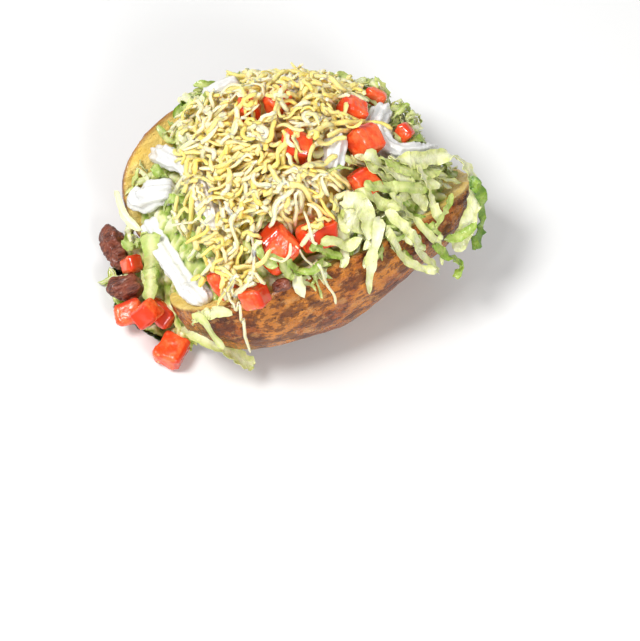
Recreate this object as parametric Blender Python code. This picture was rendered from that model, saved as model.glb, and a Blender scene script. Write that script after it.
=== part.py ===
"""Loaded baked potato: a whole potato split lengthwise, pressed open and heaped with toppings.

X runs along the potato, the thicker half lies on -Y and the thinner one on +Y, and +Z is up.
The origin is the middle of the flat spot under the potato. Lengths are in metres.
"""
import math
import random

import bmesh
import bpy
from mathutils import Matrix, Vector
from mathutils.bvhtree import BVHTree

MM = 0.001
SEED = 21

# Potato: two halves that turned outwards about the hinge, the line where the cut ends
HALF_HEIGHT = 36 * MM
CORE_ABOVE_HINGE = 30 * MM
HINGE_Z = 14 * MM
END_BLUNTNESS = 2.5
LUMP = 0.7 * MM
NEAR = {"side": -1, "open": math.radians(46.7), "thick": 36 * MM,
        "left": 68 * MM, "right": 69 * MM, "taper": 0.20, "drop": 0.0}
FAR = {"side": 1, "open": math.radians(57.2), "thick": 30 * MM,
       "left": 63 * MM, "right": 62 * MM, "taper": 0.20, "drop": 0.29}
BASE_Z = 9 * MM
BASE_HALF_SIZE = (50 * MM, 24 * MM, 9.5 * MM)

# Heap: a lettuce filling between the two cut faces, domed over them, and a layer of cheese
GAP = 0.35 * MM
HEAP_LEFT, HEAP_RIGHT = -81 * MM, 62 * MM
HEAP_RISE, HEAP_REACH = 27 * MM, 67 * MM
HEAP_BELOW_TOP = 4 * MM
SLOPE_START, SLOPE_LENGTH, SLOPE_DROP = 49 * MM, 17 * MM, 34 * MM
MOUTH_RISE = 5 * MM
SPILL_X, SPILL_HEIGHT = -66 * MM, 9 * MM
SPILL_CENTRE_Y, SPILL_HALF_WIDTH, SPILL_LENGTH = 5 * MM, 27 * MM, 21 * MM
CHEESE_CENTRE = (-12 * MM, 0.53)
CHEESE_REACH = (43 * MM, 0.45)
CHEESE_SKEW = 0.28
CHEESE_THICK = 4.5 * MM
CHEESE_SUNK = 2 * MM

SHREDS = 92
SHRED_WIDTH, SHRED_THICK = 2.6 * MM, 2.0 * MM
LEAF_THICK = 1.1 * MM
LOOSE_LEAVES = 64

# Cream ribbons: width and the places that each one passes, in millimetres along X and Y
CREAM_PATHS = [
    (9.0, [(-18, 50), (-10, 50), (-3, 47)]),
    (8.0, [(-42, 44), (-43, 34), (-42, 24), (-41, 15), (-42, 5), (-44, -5), (-46, -14)]),
    (8.5, [(-60, 23), (-56, 20), (-49, 17)]),
    (8.0, [(-60, 12), (-60, 3), (-60, -6), (-60, -15), (-60, -24), (-59, -32)]),
    (9.5, [(14, -7), (9, -13), (4, -19)]),
    (9.0, [(45, 6), (38, 0), (33, -7), (33, -15), (39, -20), (47, -21), (55, -19)]),
    (7.0, [(6, 29), (12, 29), (18, 28)]),
]

# Tomato dice: place along X and Y, then length, width and height, all in millimetres, and a turn
TOMATO_DICE = [
    (-29, -33, 16, 15, 13, 20), (-12, -36, 16, 11, 10, -10), (-52, -33, 8, 12, 9, 5),
    (-46, -42, 10, 9, 9, 40), (0, 16, 11, 8, 9, 25), (-11, 20, 9, 8, 8, 70),
    (21, -13, 12, 12, 11, 5), (27, 3, 9, 10, 9, 60), (14, -27, 12, 11, 10, 10),
    (-5, -6, 9, 13, 10, 50), (44, -10, 6, 7, 6, 15), (46, 15, 6, 8, 6, 40),
]
SPILLED_DICE = [
    (-77, -1, 12, 9, 9, -15), (-71, -10, 9, 13, 9, 20), (-71, -24, 14, 11, 9, 35),
    (-75, -11, 11, 9, 9, 5), (-68, 15, 7, 9, 7, 60),
]

# Meat: place along X and Y, then the three half sizes, all in millimetres, and a turn
MEAT_CHUNKS = [(-34, -46, 4, 3, 3, 10)]
SPILLED_MEAT = [(-70, 29, 11, 5.5, 5.5, 80), (-76, 7, 8.5, 5.5, 4.5, -35)]
SUNK = 0.3
CREAM_SUNK = 1.2 * MM
FLOOR_CLEAR = 0.4 * MM

# Strips of lettuce: width, then places along X and Y and, where a strip is held up, Z, in millimetres
LEAVES = [
    (9.5, [(24, -20), (34, -25), (45, -30, 66), (54, -36, 62), (58, -42, 58), (55, -49, 54),
           (48, -54, 48), (40, -57, 40)]),
    (6.0, [(14, -38), (20, -43), (25, -50), (29, -55)]),
    (5.0, [(12, -42), (17, -50), (24, -56)]),
    (6.5, [(18, -33), (26, -38), (33, -46), (38, -53)]),
    (6.0, [(14, -40), (8, -48), (3, -55)]),
    (7.0, [(18, -19), (23, -25), (28, -32), (33, -39), (36, -45)]),
    (8.0, [(-2, -33), (3, -39), (8, -43), (13, -45)]),
    (6.0, [(11, -30), (22, -32), (31, -35), (38, -38)]),
    (8.0, [(54, -40, 52), (60, -46, 46), (60, -53, 40), (55, -58, 34)]),
    (7.0, [(34, -48), (40, -56, 42), (44, -60, 36), (42, -64, 32)]),
    (9.0, [(-57, 12), (-62, 6), (-66, 1), (-70, -3)]),
    (6.0, [(-66, -33), (-60, -39), (-53, -44)]),
    (9.5, [(-66, -27), (-65, -36), (-63, -44, 24), (-60, -51, 16), (-56, -58, 9)]),
    (7.0, [(-60, 41, 38), (-62, 33), (-63, 24), (-60, 15)]),
    (4.5, [(-37, -40), (-35, -45), (-29, -48)]),
    (4.5, [(-30, -43), (-26, -46), (-21, -49), (-15, -46)]),
    (6.0, [(50, 4), (57, 8), (62, 14)]),
    (6.5, [(46, 20), (52, 27), (55, 34)]),
    (6.0, [(56, -8), (62, -14), (64, -20)]),
]
LEAF_PACE = 5 * MM
LEAF_BEND = 110.0


def clear_scene():
    """Remove every object that the scene starts with."""
    for obj in list(bpy.data.objects):
        bpy.data.objects.remove(obj, do_unlink=True)


def ease(value):
    """Smooth step from 0 to 1."""
    value = min(1.0, max(0.0, value))
    return value * value * (3 - 2 * value)


def material(name, colour, roughness):
    """Principled material of one colour."""
    mat = bpy.data.materials.new(name)
    mat.use_nodes = True
    shader = mat.node_tree.nodes["Principled BSDF"]
    shader.inputs["Base Color"].default_value = (*colour, 1.0)
    shader.inputs["Roughness"].default_value = roughness
    shader.inputs["Metallic"].default_value = 0.0
    return mat


def add_object(name, bm, mat=None):
    """Object of a bmesh, with its faces turned out and split into triangles."""
    bmesh.ops.triangulate(bm, faces=bm.faces)
    bmesh.ops.recalc_face_normals(bm, faces=bm.faces)
    mesh = bpy.data.meshes.new(name)
    bm.to_mesh(mesh)
    bm.free()
    obj = bpy.data.objects.new(name, mesh)
    bpy.context.scene.collection.objects.link(obj)
    if mat:
        mesh.materials.append(mat)
    return obj


def skin_rings(bm, rings, ends):
    """Closed skin through rings of equal length, with one point past each end."""
    loops = [[bm.verts.new(p) for p in ring] for ring in rings]
    count = len(loops[0])
    for one, two in zip(loops, loops[1:]):
        for i in range(count):
            j = (i + 1) % count
            bm.faces.new((one[i], one[j], two[j], two[i]))
    for loop, end in ((loops[0], ends[0]), (loops[-1], ends[1])):
        tip = bm.verts.new(end)
        for i in range(count):
            bm.faces.new((loop[i], loop[(i + 1) % count], tip))


def largest_island(bm):
    """Keep the largest connected shell, so that scraps and sealed hollows go."""
    left = set(bm.verts)
    islands = []
    while left:
        todo = [left.pop()]
        island = list(todo)
        while todo:
            for edge in todo.pop().link_edges:
                for vert in edge.verts:
                    if vert in left:
                        left.remove(vert)
                        todo.append(vert)
                        island.append(vert)
        islands.append(island)

    def reach(island):
        return sum(max(v.co[i] for v in island) - min(v.co[i] for v in island) for i in range(3))

    islands.sort(key=reach)
    for island in islands[:-1]:
        bmesh.ops.delete(bm, geom=island, context="VERTS")


def boolean(target, operation, pieces):
    """Apply one Boolean of the pieces to the target, and remove the pieces."""
    collection = bpy.data.collections.new("pieces")
    bpy.context.scene.collection.children.link(collection)
    for piece in pieces:
        bpy.context.scene.collection.objects.unlink(piece)
        collection.objects.link(piece)
    for solver in ("EXACT", "MANIFOLD"):
        modifier = target.modifiers.new("join", "BOOLEAN")
        modifier.operation = operation
        modifier.operand_type = "COLLECTION"
        modifier.collection = collection
        modifier.solver = solver
        result = target.evaluated_get(bpy.context.evaluated_depsgraph_get())
        mesh = bpy.data.meshes.new_from_object(result)
        target.modifiers.clear()
        if tidy_shell(mesh):
            break
    target.data = mesh
    for piece in pieces:
        bpy.data.objects.remove(piece, do_unlink=True)
    bpy.data.collections.remove(collection)


def tidy_shell(mesh):
    """Split a mesh into triangles, keep its largest shell, and tell whether it is closed."""
    bm = bmesh.new()
    bm.from_mesh(mesh)
    bmesh.ops.triangulate(bm, faces=bm.faces)
    largest_island(bm)
    closed = all(len(edge.link_faces) == 2 for edge in bm.edges)
    bm.to_mesh(mesh)
    bm.free()
    return closed


def tree_of(*objects):
    """Search tree over the triangles of some objects."""
    verts, faces = [], []
    for obj in objects:
        start = len(verts)
        verts += [v.co.copy() for v in obj.data.vertices]
        faces += [[start + i for i in p.vertices] for p in obj.data.polygons]
    return BVHTree.FromPolygons(verts, faces)


def section_scale(t):
    """Size of a half's section at t, from 1 in the middle to 0 at t = -1 and 1."""
    return max(0.0, 1 - abs(t) ** END_BLUNTNESS) ** (1 / END_BLUNTNESS)


def half_height(half, t):
    """Half the height of a half's section, before the ends round it off."""
    return HALF_HEIGHT * (1 - half["drop"] * ease((t + 0.12) / 1.12) ** 0.8)


def half_point(half, t, along, out, grow=0.0):
    """Point of a half: `along` up its cut face from the hinge and `out` from it to the skin."""
    x = (half["right"] + grow) * t if t > 0 else (half["left"] + grow) * t
    sin_open, cos_open = math.sin(half["open"]), math.cos(half["open"])
    y = along * sin_open + out * cos_open
    return Vector((x, half["side"] * y, HINGE_Z + along * cos_open - out * sin_open))


def rim_along(half, t):
    """Distance from the hinge up the cut face to the rim."""
    tall = half_height(half, t)
    return CORE_ABOVE_HINGE - (HALF_HEIGHT - tall) / 2 + tall * section_scale(t)


def half_section(half, t, grow):
    """Ring round one section: over the skin from rim to foot, and back up the cut face."""
    tall, scale = half_height(half, t), section_scale(t)
    middle = CORE_ABOVE_HINGE - (HALF_HEIGHT - tall) / 2
    thick = half["thick"] * (1 - half["taper"] * ease(t / 0.5))
    ring = []
    skin_steps, face_steps = 12, 4
    for i in range(skin_steps + 1):
        turn = math.pi * i / skin_steps
        lump = LUMP * scale * math.sin(turn) * (math.sin(9 * t + 2 * turn) + math.sin(5 * turn - 7 * t))
        along = middle + (tall * scale + grow) * math.cos(turn)
        out = (thick * scale + grow + lump) * math.sin(turn) - grow * abs(math.cos(turn))
        ring.append(half_point(half, t, along, out, grow))
    for i in range(1, face_steps):
        along = middle - (tall * scale + grow) * math.cos(math.pi * i / face_steps)
        ring.append(half_point(half, t, along, -grow, grow))
    return ring


def potato_half(name, half, grow=0.0):
    """One half of the potato, its cut face flat and its skin lumpy."""
    stations = 24
    params = [math.sin(0.485 * math.pi * (2 * i / (stations - 1) - 1)) for i in range(stations)]
    rings = [half_section(half, t, grow) for t in params]
    middles = [CORE_ABOVE_HINGE - (HALF_HEIGHT - half_height(half, t)) / 2 for t in (-1, 1)]
    ends = [half_point(half, t, middle, 0, grow) for t, middle in zip((-1, 1), middles)]
    bm = bmesh.new()
    skin_rings(bm, rings, ends)
    return add_object(name, bm)


def potato_base(name, grow=0.0):
    """Flesh and skin that still join the halves under the hinge."""
    bm = bmesh.new()
    size = [s + grow for s in BASE_HALF_SIZE]
    bmesh.ops.create_uvsphere(bm, u_segments=24, v_segments=12, radius=1.0,
                              matrix=Matrix.Translation((0, 0, BASE_Z)) @ Matrix.Diagonal((*size, 1.0)))
    return add_object(name, bm)


def build_potato(mat, grow=0.0):
    """Whole potato, flat where it rests; a positive grow gives the room that it takes."""
    potato = potato_half("potato" if not grow else "potato_room", NEAR, grow)
    boolean(potato, "UNION", [potato_half("far_half", FAR, grow), potato_base("base", grow)])
    if not grow:
        bm = bmesh.new()
        depth = 30 * MM
        bmesh.ops.create_cube(bm, size=1.0, matrix=Matrix.Translation((0, 0, -depth / 2))
                              @ Matrix.Diagonal((4 * NEAR["right"], 4 * NEAR["right"], depth, 1.0)))
        boolean(potato, "DIFFERENCE", [add_object("floor", bm)])
        potato.data.materials.clear()
        potato.data.materials.append(mat)
    return potato


def half_at(half, x):
    """Parameter t of a half at a place along X."""
    t = x / half["right"] if x > 0 else x / half["left"]
    return min(0.97, max(-0.97, t))


def heap_edges(x):
    """Where the filling meets the near and the far cut face: two points (y, z)."""
    near = rim_along(NEAR, half_at(NEAR, x)) - 2 * MM
    back = 1 - 0.16 * ease((-24 * MM - x) / (14 * MM))
    far = (rim_along(FAR, half_at(FAR, x)) + 1 * MM) * back
    edges = [(-near * math.sin(NEAR["open"]), HINGE_Z + near * math.cos(NEAR["open"])),
             (far * math.sin(FAR["open"]), HINGE_Z + far * math.cos(FAR["open"]))]
    spill = ease((SPILL_X + 8 * MM - x) / (14 * MM))
    reach = min(0.98, max(0.0, (HEAP_LEFT + SPILL_LENGTH - x) / SPILL_LENGTH))
    half_width = SPILL_HALF_WIDTH * math.sqrt(1 - reach ** 2)
    ends = [(SPILL_CENTRE_Y - half_width, 1.5 * MM), (SPILL_CENTRE_Y + half_width, 1.5 * MM)]
    return [(y + (ey - y) * spill, z + (ez - z) * spill) for (y, z), (ey, ez) in zip(edges, ends)]


def heap_top(x, s):
    """Height of the lettuce filling at x, s of the way from its near to its far edge."""
    (near_y, near_z), (far_y, far_z) = heap_edges(x)
    length = max(0.0, 1 - abs(x / HEAP_REACH) ** 2.6)
    arch = 1 - abs(2 * s - 1) ** 2.4
    spill = ease((SPILL_X + 2 * MM - x) / (8 * MM))
    rise = HEAP_RISE * length * arch * (1 - spill) + SPILL_HEIGHT * arch * spill
    level = near_z + (far_z - near_z) * s
    slope = SLOPE_DROP * ease((x - SLOPE_START) / SLOPE_LENGTH) * (1 - 0.5 * abs(2 * s - 1))
    return level + rise - HEAP_BELOW_TOP * min(1.0, 4 * arch) * (1 - spill) - slope


def heap_y(x, s):
    """Place across the filling."""
    (near_y, _), (far_y, _) = heap_edges(x)
    return near_y + (far_y - near_y) * s


def heap_bottom(x, y):
    """Height of the filling's underside before the potato is cut out of it."""
    half = NEAR if y < 0 else FAR
    valley = HINGE_Z + abs(y) / math.tan(half["open"]) - 5 * MM
    spill = ease((SPILL_X + 10 * MM - x) / (10 * MM))
    mouth = (HINGE_Z + MOUTH_RISE) * ease((x - SLOPE_START) / SLOPE_LENGTH)
    return max(0.2 * MM, valley * (1 - spill), mouth)


def grid_solid(name, columns, rows, top, bottom):
    """Closed solid between two surfaces over one grid, both split into triangles alike."""
    bm = bmesh.new()
    upper = [[bm.verts.new(top(i, j)) for j in range(rows)] for i in range(columns)]
    lower = [[bm.verts.new(bottom(i, j)) for j in range(rows)] for i in range(columns)]
    for i in range(columns - 1):
        for j in range(rows - 1):
            for level, turn in ((upper, 1), (lower, -1)):
                a, b, c, d = level[i][j], level[i + 1][j], level[i + 1][j + 1], level[i][j + 1]
                bm.faces.new((a, b, c)[::turn])
                bm.faces.new((a, c, d)[::turn])
    outline = [(i, 0) for i in range(columns)] + [(columns - 1, j) for j in range(1, rows)]
    outline += [(i, rows - 1) for i in range(columns - 2, -1, -1)]
    outline += [(0, j) for j in range(rows - 2, 0, -1)]
    for (i, j), (k, m) in zip(outline, outline[1:] + outline[:1]):
        bm.faces.new((upper[i][j], lower[i][j], lower[k][m], upper[k][m]))
    return add_object(name, bm)


def lettuce_core():
    """The filling: domed above, and fitted to the two cut faces below."""
    columns, rows = 26, 13
    span = HEAP_RIGHT - HEAP_LEFT

    def place(i, j):
        x, s = HEAP_LEFT + span * i / (columns - 1), j / (rows - 1)
        return x, s, heap_y(x, s)

    def top(i, j):
        x, s, y = place(i, j)
        return x, y, max(heap_top(x, s), heap_bottom(x, y) + 1.5 * MM)

    def bottom(i, j):
        x, s, y = place(i, j)
        return x, y, heap_bottom(x, y)

    core = grid_solid("lettuce", columns, rows, top, bottom)
    boolean(core, "DIFFERENCE", [build_potato(None, GAP)])
    return core


def cheese_place(angle, r):
    """Place along X and share of the way across the filling, out to the cheese's edge at r = 1."""
    cos, sin = math.cos(angle), math.sin(angle)
    right = CHEESE_SKEW * sin if cos > 0 else 0.0
    along = math.copysign(abs(cos) ** 0.7, cos) * (1 + right)
    across = math.copysign(abs(sin) ** 0.7, sin)
    return CHEESE_CENTRE[0] + CHEESE_REACH[0] * r * along, CHEESE_CENTRE[1] + CHEESE_REACH[1] * r * across


def cheese_core(lettuce):
    """Layer of cheese on the filling: thickest in the middle, thin at its edge."""
    rays, steps = 26, 6
    bm = bmesh.new()

    def corner(angle, r, lift):
        x, s = cheese_place(angle, r)
        return Vector((x, heap_y(x, s), heap_top(x, s) + lift))

    def ring(r, lift):
        return [bm.verts.new(corner(2 * math.pi * i / rays, r, lift)) for i in range(rays)]

    def thickness(r):
        return 1.2 * MM + CHEESE_THICK * (1 - r ** 3)

    under = [ring(k / steps, -CHEESE_SUNK) for k in (1, steps)]
    over = [ring(k / steps * 0.995, thickness(k / steps)) for k in range(steps, 0, -1)]
    rings = under + over
    for one, two in zip(rings, rings[1:]):
        for i in range(rays):
            j = (i + 1) % rays
            bm.faces.new((one[i], one[j], two[j]))
            bm.faces.new((one[i], two[j], two[i]))
    for loop, lift in ((under[0], -CHEESE_SUNK), (over[-1], thickness(0))):
        tip = bm.verts.new(corner(0, 0, lift))
        for i in range(rays):
            bm.faces.new((loop[i], loop[(i + 1) % rays], tip))
    core = add_object("cheese", bm)
    room = bpy.data.objects.new("lettuce_room", lettuce.data.copy())
    bpy.context.scene.collection.objects.link(room)
    room.data.transform(Matrix.Translation((0, 0, 2 * GAP)))
    boolean(core, "DIFFERENCE", [room])
    return core


def surface(tree, x, y):
    """Highest point of what a tree holds over a place, and its normal, or None."""
    point, normal, _, _ = tree.ray_cast(Vector((x, y, 0.2)), Vector((0, 0, -1)))
    return (point, normal) if point else None


def support(tree, x, y):
    """The same, down to the level that the potato rests on where the tree holds nothing."""
    return surface(tree, x, y) or (Vector((x, y, 0)), Vector((0, 0, 1)))


def drape(tree, x, y, heading, length, bend, steps, lift):
    """Points and normals of a strip laid over a tree, `lift` above it at each step."""
    step = length / (steps - 1)
    path = []
    for i in range(steps):
        hit = surface(tree, x, y)
        if not hit:
            return None
        point, normal = hit
        path.append((point + normal * lift(i / (steps - 1)), normal))
        ahead = Vector((math.cos(heading), math.sin(heading), 0))
        down = ahead.dot(normal) / max(0.25, normal.z)
        advance = step / math.sqrt(1 + down * down)
        x, y = x + ahead.x * advance, y + ahead.y * advance
        heading += bend / steps
    return path


def strip(name, path, widths, thick):
    """Closed band with four corners at each point of its path."""
    bm = bmesh.new()
    rings = []
    for i, (point, normal) in enumerate(path):
        before, after = path[max(0, i - 1)][0], path[min(len(path) - 1, i + 1)][0]
        side = (after - before).cross(normal).normalized() * widths[i] / 2
        up = side.cross(after - before).normalized() * thick / 2
        rings.append([bm.verts.new(point + a * side + b * up)
                      for a, b in ((1, -1), (1, 1), (-1, 1), (-1, -1))])
    for one, two in zip(rings, rings[1:]):
        for i in range(4):
            j = (i + 1) % 4
            bm.faces.new((one[i], one[j], two[j]))
            bm.faces.new((one[i], two[j], two[i]))
    bm.faces.new(rings[0])
    bm.faces.new(rings[-1][::-1])
    return add_object(name, bm)


def crosses(obj, tree):
    """True where an object's faces cross the faces that a tree holds, or lie close inside."""
    own = tree_of(obj)
    if own.overlap(tree):
        return True
    for vert in obj.data.vertices:
        point, normal, _, distance = tree.find_nearest(vert.co)
        if distance < GAP or (vert.co - point).dot(normal) < 0 and distance < 3 * MM:
            return True
    return False


def smooth_path(points, count):
    """Points spread evenly along a smooth curve through some places, Z being 0 where none is given."""
    pts = [Vector((*p, 0)[:3]) * MM for p in points]
    ends = [2 * pts[0] - pts[1]] + pts + [2 * pts[-1] - pts[-2]]
    dense = []
    for p0, p1, p2, p3 in zip(ends, ends[1:], ends[2:], ends[3:]):
        for k in range(12):
            t = k / 12
            dense.append(0.5 * (2 * p1 + (p2 - p0) * t + (2 * p0 - 5 * p1 + 4 * p2 - p3) * t * t
                                + (3 * p1 - p0 - 3 * p2 + p3) * t ** 3))
    dense.append(pts[-1])
    return [dense[round(i * (len(dense) - 1) / (count - 1))] for i in range(count)]


def cream_ribbon(name, width, points, ground, laid, mat):
    """Squeezed ribbon of cream, ridged on top with drawn-out ends, and the room that it takes."""
    count = max(6, 2 * len(points) + 1)
    hits = [support(ground["all"], p.x, p.y) for p in smooth_path(points, count)]
    rise = (0.0, 0.55, 0.95, 0.8, 1.0, 0.8, 0.95, 0.55, 0.0)
    spread = [math.cos(math.pi * k / (len(rise) - 1)) for k in range(len(rise))]
    rings, rooms = [], []
    for i, (point, normal) in enumerate(hits):
        before, after = hits[max(0, i - 1)][0], hits[min(count - 1, i + 1)][0]
        size = (0.5, 0.9, 1.0)[min(i, count - 1 - i, 2)] * (1 + 0.08 * math.sin(2.3 * i))
        side = (after - before).cross(normal).normalized() * width * MM / 2 * size
        up = side.cross(after - before).normalized()
        height = width * MM * 0.6 * size
        ring = [point + side * a + up * height * b for a, b in zip(spread, rise)]
        low = min(min(p.z - support(ground["all"], p.x, p.y)[0].z + CREAM_SUNK,
                      p.z - support(ground["potato"], p.x, p.y)[0].z - 2 * GAP) for p in ring)
        rings.append([p - Vector((0, 0, low)) for p in ring])
        wide = side * (1 + 2 * GAP / side.length)
        foot = point - Vector((0, 0, low)) - up * GAP
        rooms.append([foot + wide, foot + wide * 0.7 + up * (height + 2 * GAP),
                      foot - wide * 0.7 + up * (height + 2 * GAP), foot - wide])
    pieces = []
    for loops, reach in ((rings, 0.25), (rooms, 0.45)):
        tips = []
        for one, two in ((0, 1), (-1, -2)):
            middle = (loops[one][0] + loops[one][-1]) / 2
            inner = (loops[two][0] + loops[two][-1]) / 2
            tips.append(middle + (middle - inner) * reach + Vector((0, 0, 0.8 * MM)))
        bm = bmesh.new()
        skin_rings(bm, loops, tips)
        pieces.append(bm)
    return lay_down(name, pieces, laid, mat)


def inside(bm, tree):
    """True where the middle of a piece is inside what a tree holds."""
    middle = sum((vert.co for vert in bm.verts), Vector()) / len(bm.verts)
    point, normal, _, _ = tree.find_nearest(middle)
    return (middle - point).dot(normal) < 0


def lay_down(name, pieces, laid, mat, slope=None):
    """Move a piece with its room until it clears what is already laid, and make both objects.

    A piece on a slope first slides along it; one that follows its bed is only raised.
    """
    body, room = pieces
    slides = [Vector((0, 0, 0))]
    if slope:
        for reach in (1.5, 3.0, 4.5, 6.0):
            for k in range(8):
                x, y = reach * MM * math.cos(k * math.pi / 4), reach * MM * math.sin(k * math.pi / 4)
                slides.append(Vector((x, y, -(slope.x * x + slope.y * y) / max(0.3, slope.z))))
    moves = [slide + Vector((0, 0, GAP * k)) for slide in slides for k in range(4)]
    moves += [Vector((0, 0, GAP * k)) for k in range(4, 60)]
    for move in moves:
        trial = body.copy()
        bmesh.ops.translate(trial, vec=move, verts=trial.verts)
        blocked = (min(vert.co.z for vert in trial.verts) < FLOOR_CLEAR or inside(trial, laid)
                   or BVHTree.FromBMesh(trial).overlap(laid))
        trial.free()
        if not blocked:
            break
    for piece in (body, room):
        bmesh.ops.translate(piece, vec=move + Vector((0, 0, GAP)), verts=piece.verts)
    return add_object(name, body, mat), add_object(name + "_room", room)


def block(length, width, height, rng):
    """Uneven block round the origin."""
    bm = bmesh.new()
    bmesh.ops.create_cube(bm, size=1.0)
    for vert in bm.verts:
        vert.co.x *= length * MM * rng.uniform(0.85, 1.08)
        vert.co.y *= width * MM * rng.uniform(0.85, 1.08)
        vert.co.z *= height * MM * rng.uniform(0.94, 1.06)
    return bm


def rest_pose(tree, x, y, height, turn):
    """Place and tilt of a piece that lies on a tree, sunk into it by a share of its height."""
    point, normal = support(tree, x * MM, y * MM)
    tilt = Vector((0, 0, 1)).rotation_difference(normal)
    at = point + normal * height * MM * (0.5 - SUNK)
    at.z = max(at.z, height * MM * 0.62)
    return (Matrix.Translation(at) @ tilt.to_matrix().to_4x4()
            @ Matrix.Rotation(math.radians(turn), 4, "Z")), normal


def tomato_die(name, dice, bed, laid, mat, rng):
    """Piece of diced tomato, an uneven block with soft edges, and the room that it takes."""
    x, y, length, width, height, turn = dice
    bm = block(length, width, height, rng)
    room = bm.copy()
    for vert in room.verts:
        vert.co += Vector([math.copysign(2 * GAP, c) for c in vert.co])
    bmesh.ops.bevel(bm, geom=bm.edges, offset=min(length, width, height) * 0.13 * MM,
                    segments=1, profile=0.6, affect="EDGES")
    pose, normal = rest_pose(bed, x, y, height, turn)
    for piece in (bm, room):
        bmesh.ops.transform(piece, matrix=pose, verts=piece.verts)
    return lay_down(name, (bm, room), laid, mat, normal)


def meat_chunk(name, chunk, bed, laid, mat):
    """Chunk of pulled meat, a lump with coarse fibres along it, and the room that it takes."""
    x, y, long, wide, high, turn = chunk
    pieces = []
    for detail, grow in ((2 if long < 6 else 3, 0.0), (2, 1.0)):
        bm = bmesh.new()
        bmesh.ops.create_icosphere(bm, subdivisions=detail, radius=1.0)
        for vert in bm.verts:
            around = math.atan2(vert.co.z, vert.co.y)
            fibre = 1 + 0.10 * math.sin(7 * around + 3 * vert.co.x) + 0.08 * math.sin(5 * vert.co.x)
            fibre = fibre if not grow else 1.18
            vert.co = Vector((vert.co.x * (long + grow), vert.co.y * (wide + grow) * fibre,
                              vert.co.z * (high + grow) * fibre)) * MM
        pose, normal = rest_pose(bed, x, y, 2 * high, turn)
        bmesh.ops.transform(bm, matrix=pose, verts=bm.verts)
        pieces.append(bm)
    return lay_down(name, pieces, laid, mat, normal)


def cheese_shreds(core, others, rng):
    """Shreds fused on the cheese, laid every way, clear of what else lies on it."""
    tree = tree_of(core)
    shreds = []
    for number in range(SHREDS):
        x, s = cheese_place(rng.uniform(0, 2 * math.pi), math.sqrt(rng.random()) * 0.93)
        hump = rng.uniform(0.2, 2.6) * MM
        length = rng.uniform(12, 23) * MM
        path = drape(tree, x, heap_y(x, s), rng.uniform(0, 2 * math.pi), length,
                     rng.uniform(-1.6, 1.6), 4,
                     lambda f, h=hump: 0.3 * MM + h * math.sin(math.pi * f))
        if not path:
            continue
        shred = strip("shred_%d" % number, path, [SHRED_WIDTH] * len(path), SHRED_THICK)
        if any(crosses(shred, other) for other in others):
            bpy.data.objects.remove(shred, do_unlink=True)
        else:
            shreds.append(shred)
    boolean(core, "UNION", shreds)


def held_path(ground, places, lift):
    """Points of a strip that lies along some places, springy, or is held up where they give Z."""
    spread = sum((Vector(a[:2]) - Vector(b[:2])).length * MM for a, b in zip(places, places[1:]))
    points = smooth_path(places, max(5, round(spread / LEAF_PACE) + 1))
    spots = [p.to_2d() for p in points]
    heights = [support(ground, *spot)[0].z for spot in spots]
    path = []
    for i, (spot, p) in enumerate(zip(spots, points)):
        lies = max(h - LEAF_BEND * (spot - other).length_squared for h, other in zip(heights, spots))
        height = max(lies + lift(i / (len(points) - 1)), p.z)
        path.append((Vector((*spot, height)), Vector((0, 0, 1))))
    return path


def random_place(rng):
    """Start, heading, length and bend of a loose strip, most of them near the potato's rims."""
    x, s = rng.uniform(-62, 60) * MM, rng.choice((rng.uniform(0.03, 0.25), rng.uniform(0.2, 0.95)))
    return x, heap_y(x, s), rng.uniform(0, 2 * math.pi), rng.uniform(14, 26) * MM, rng.uniform(-1.2, 1.2)


def lettuce_strips(core, others, ground, rng):
    """Strips of lettuce fused on the filling, some of them hanging over the potato's edge."""
    tree = tree_of(core)
    plan = [(width, places) for width, places in LEAVES]
    plan += [(rng.uniform(3.5, 6.5), random_place(rng)) for _ in range(LOOSE_LEAVES)]
    strips = []
    for number, (width, course) in enumerate(plan):
        for raised in (0.2, 0.9, 1.8, 2.8, 4.0, 5.5):
            wave = rng.uniform(0, 2 * math.pi)

            def lift(f, k=raised, w=wave):
                return (k * min(1.0, 3 * f) + 0.1 + 0.8 * f * (1 + math.sin(9 * f + w))) * MM

            if number < len(LEAVES):
                path = held_path(ground, course, lift)
            else:
                x, y, heading, length, bend = course
                path = drape(ground, x, y, heading, length, bend, max(5, round(length / LEAF_PACE)), lift)
            if not path:
                break
            widths = [width * MM * (0.55 if i in (0, len(path) - 1) else 1.0) for i in range(len(path))]
            leaf = strip("leaf_%d" % number, path, widths, LEAF_THICK)
            if any(crosses(leaf, other) for other in others) or not tree_of(leaf).overlap(tree):
                bpy.data.objects.remove(leaf, do_unlink=True)
                continue
            strips.append(leaf)
            tree = tree_of(core, *strips)
            break
    boolean(core, "UNION", strips)


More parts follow.
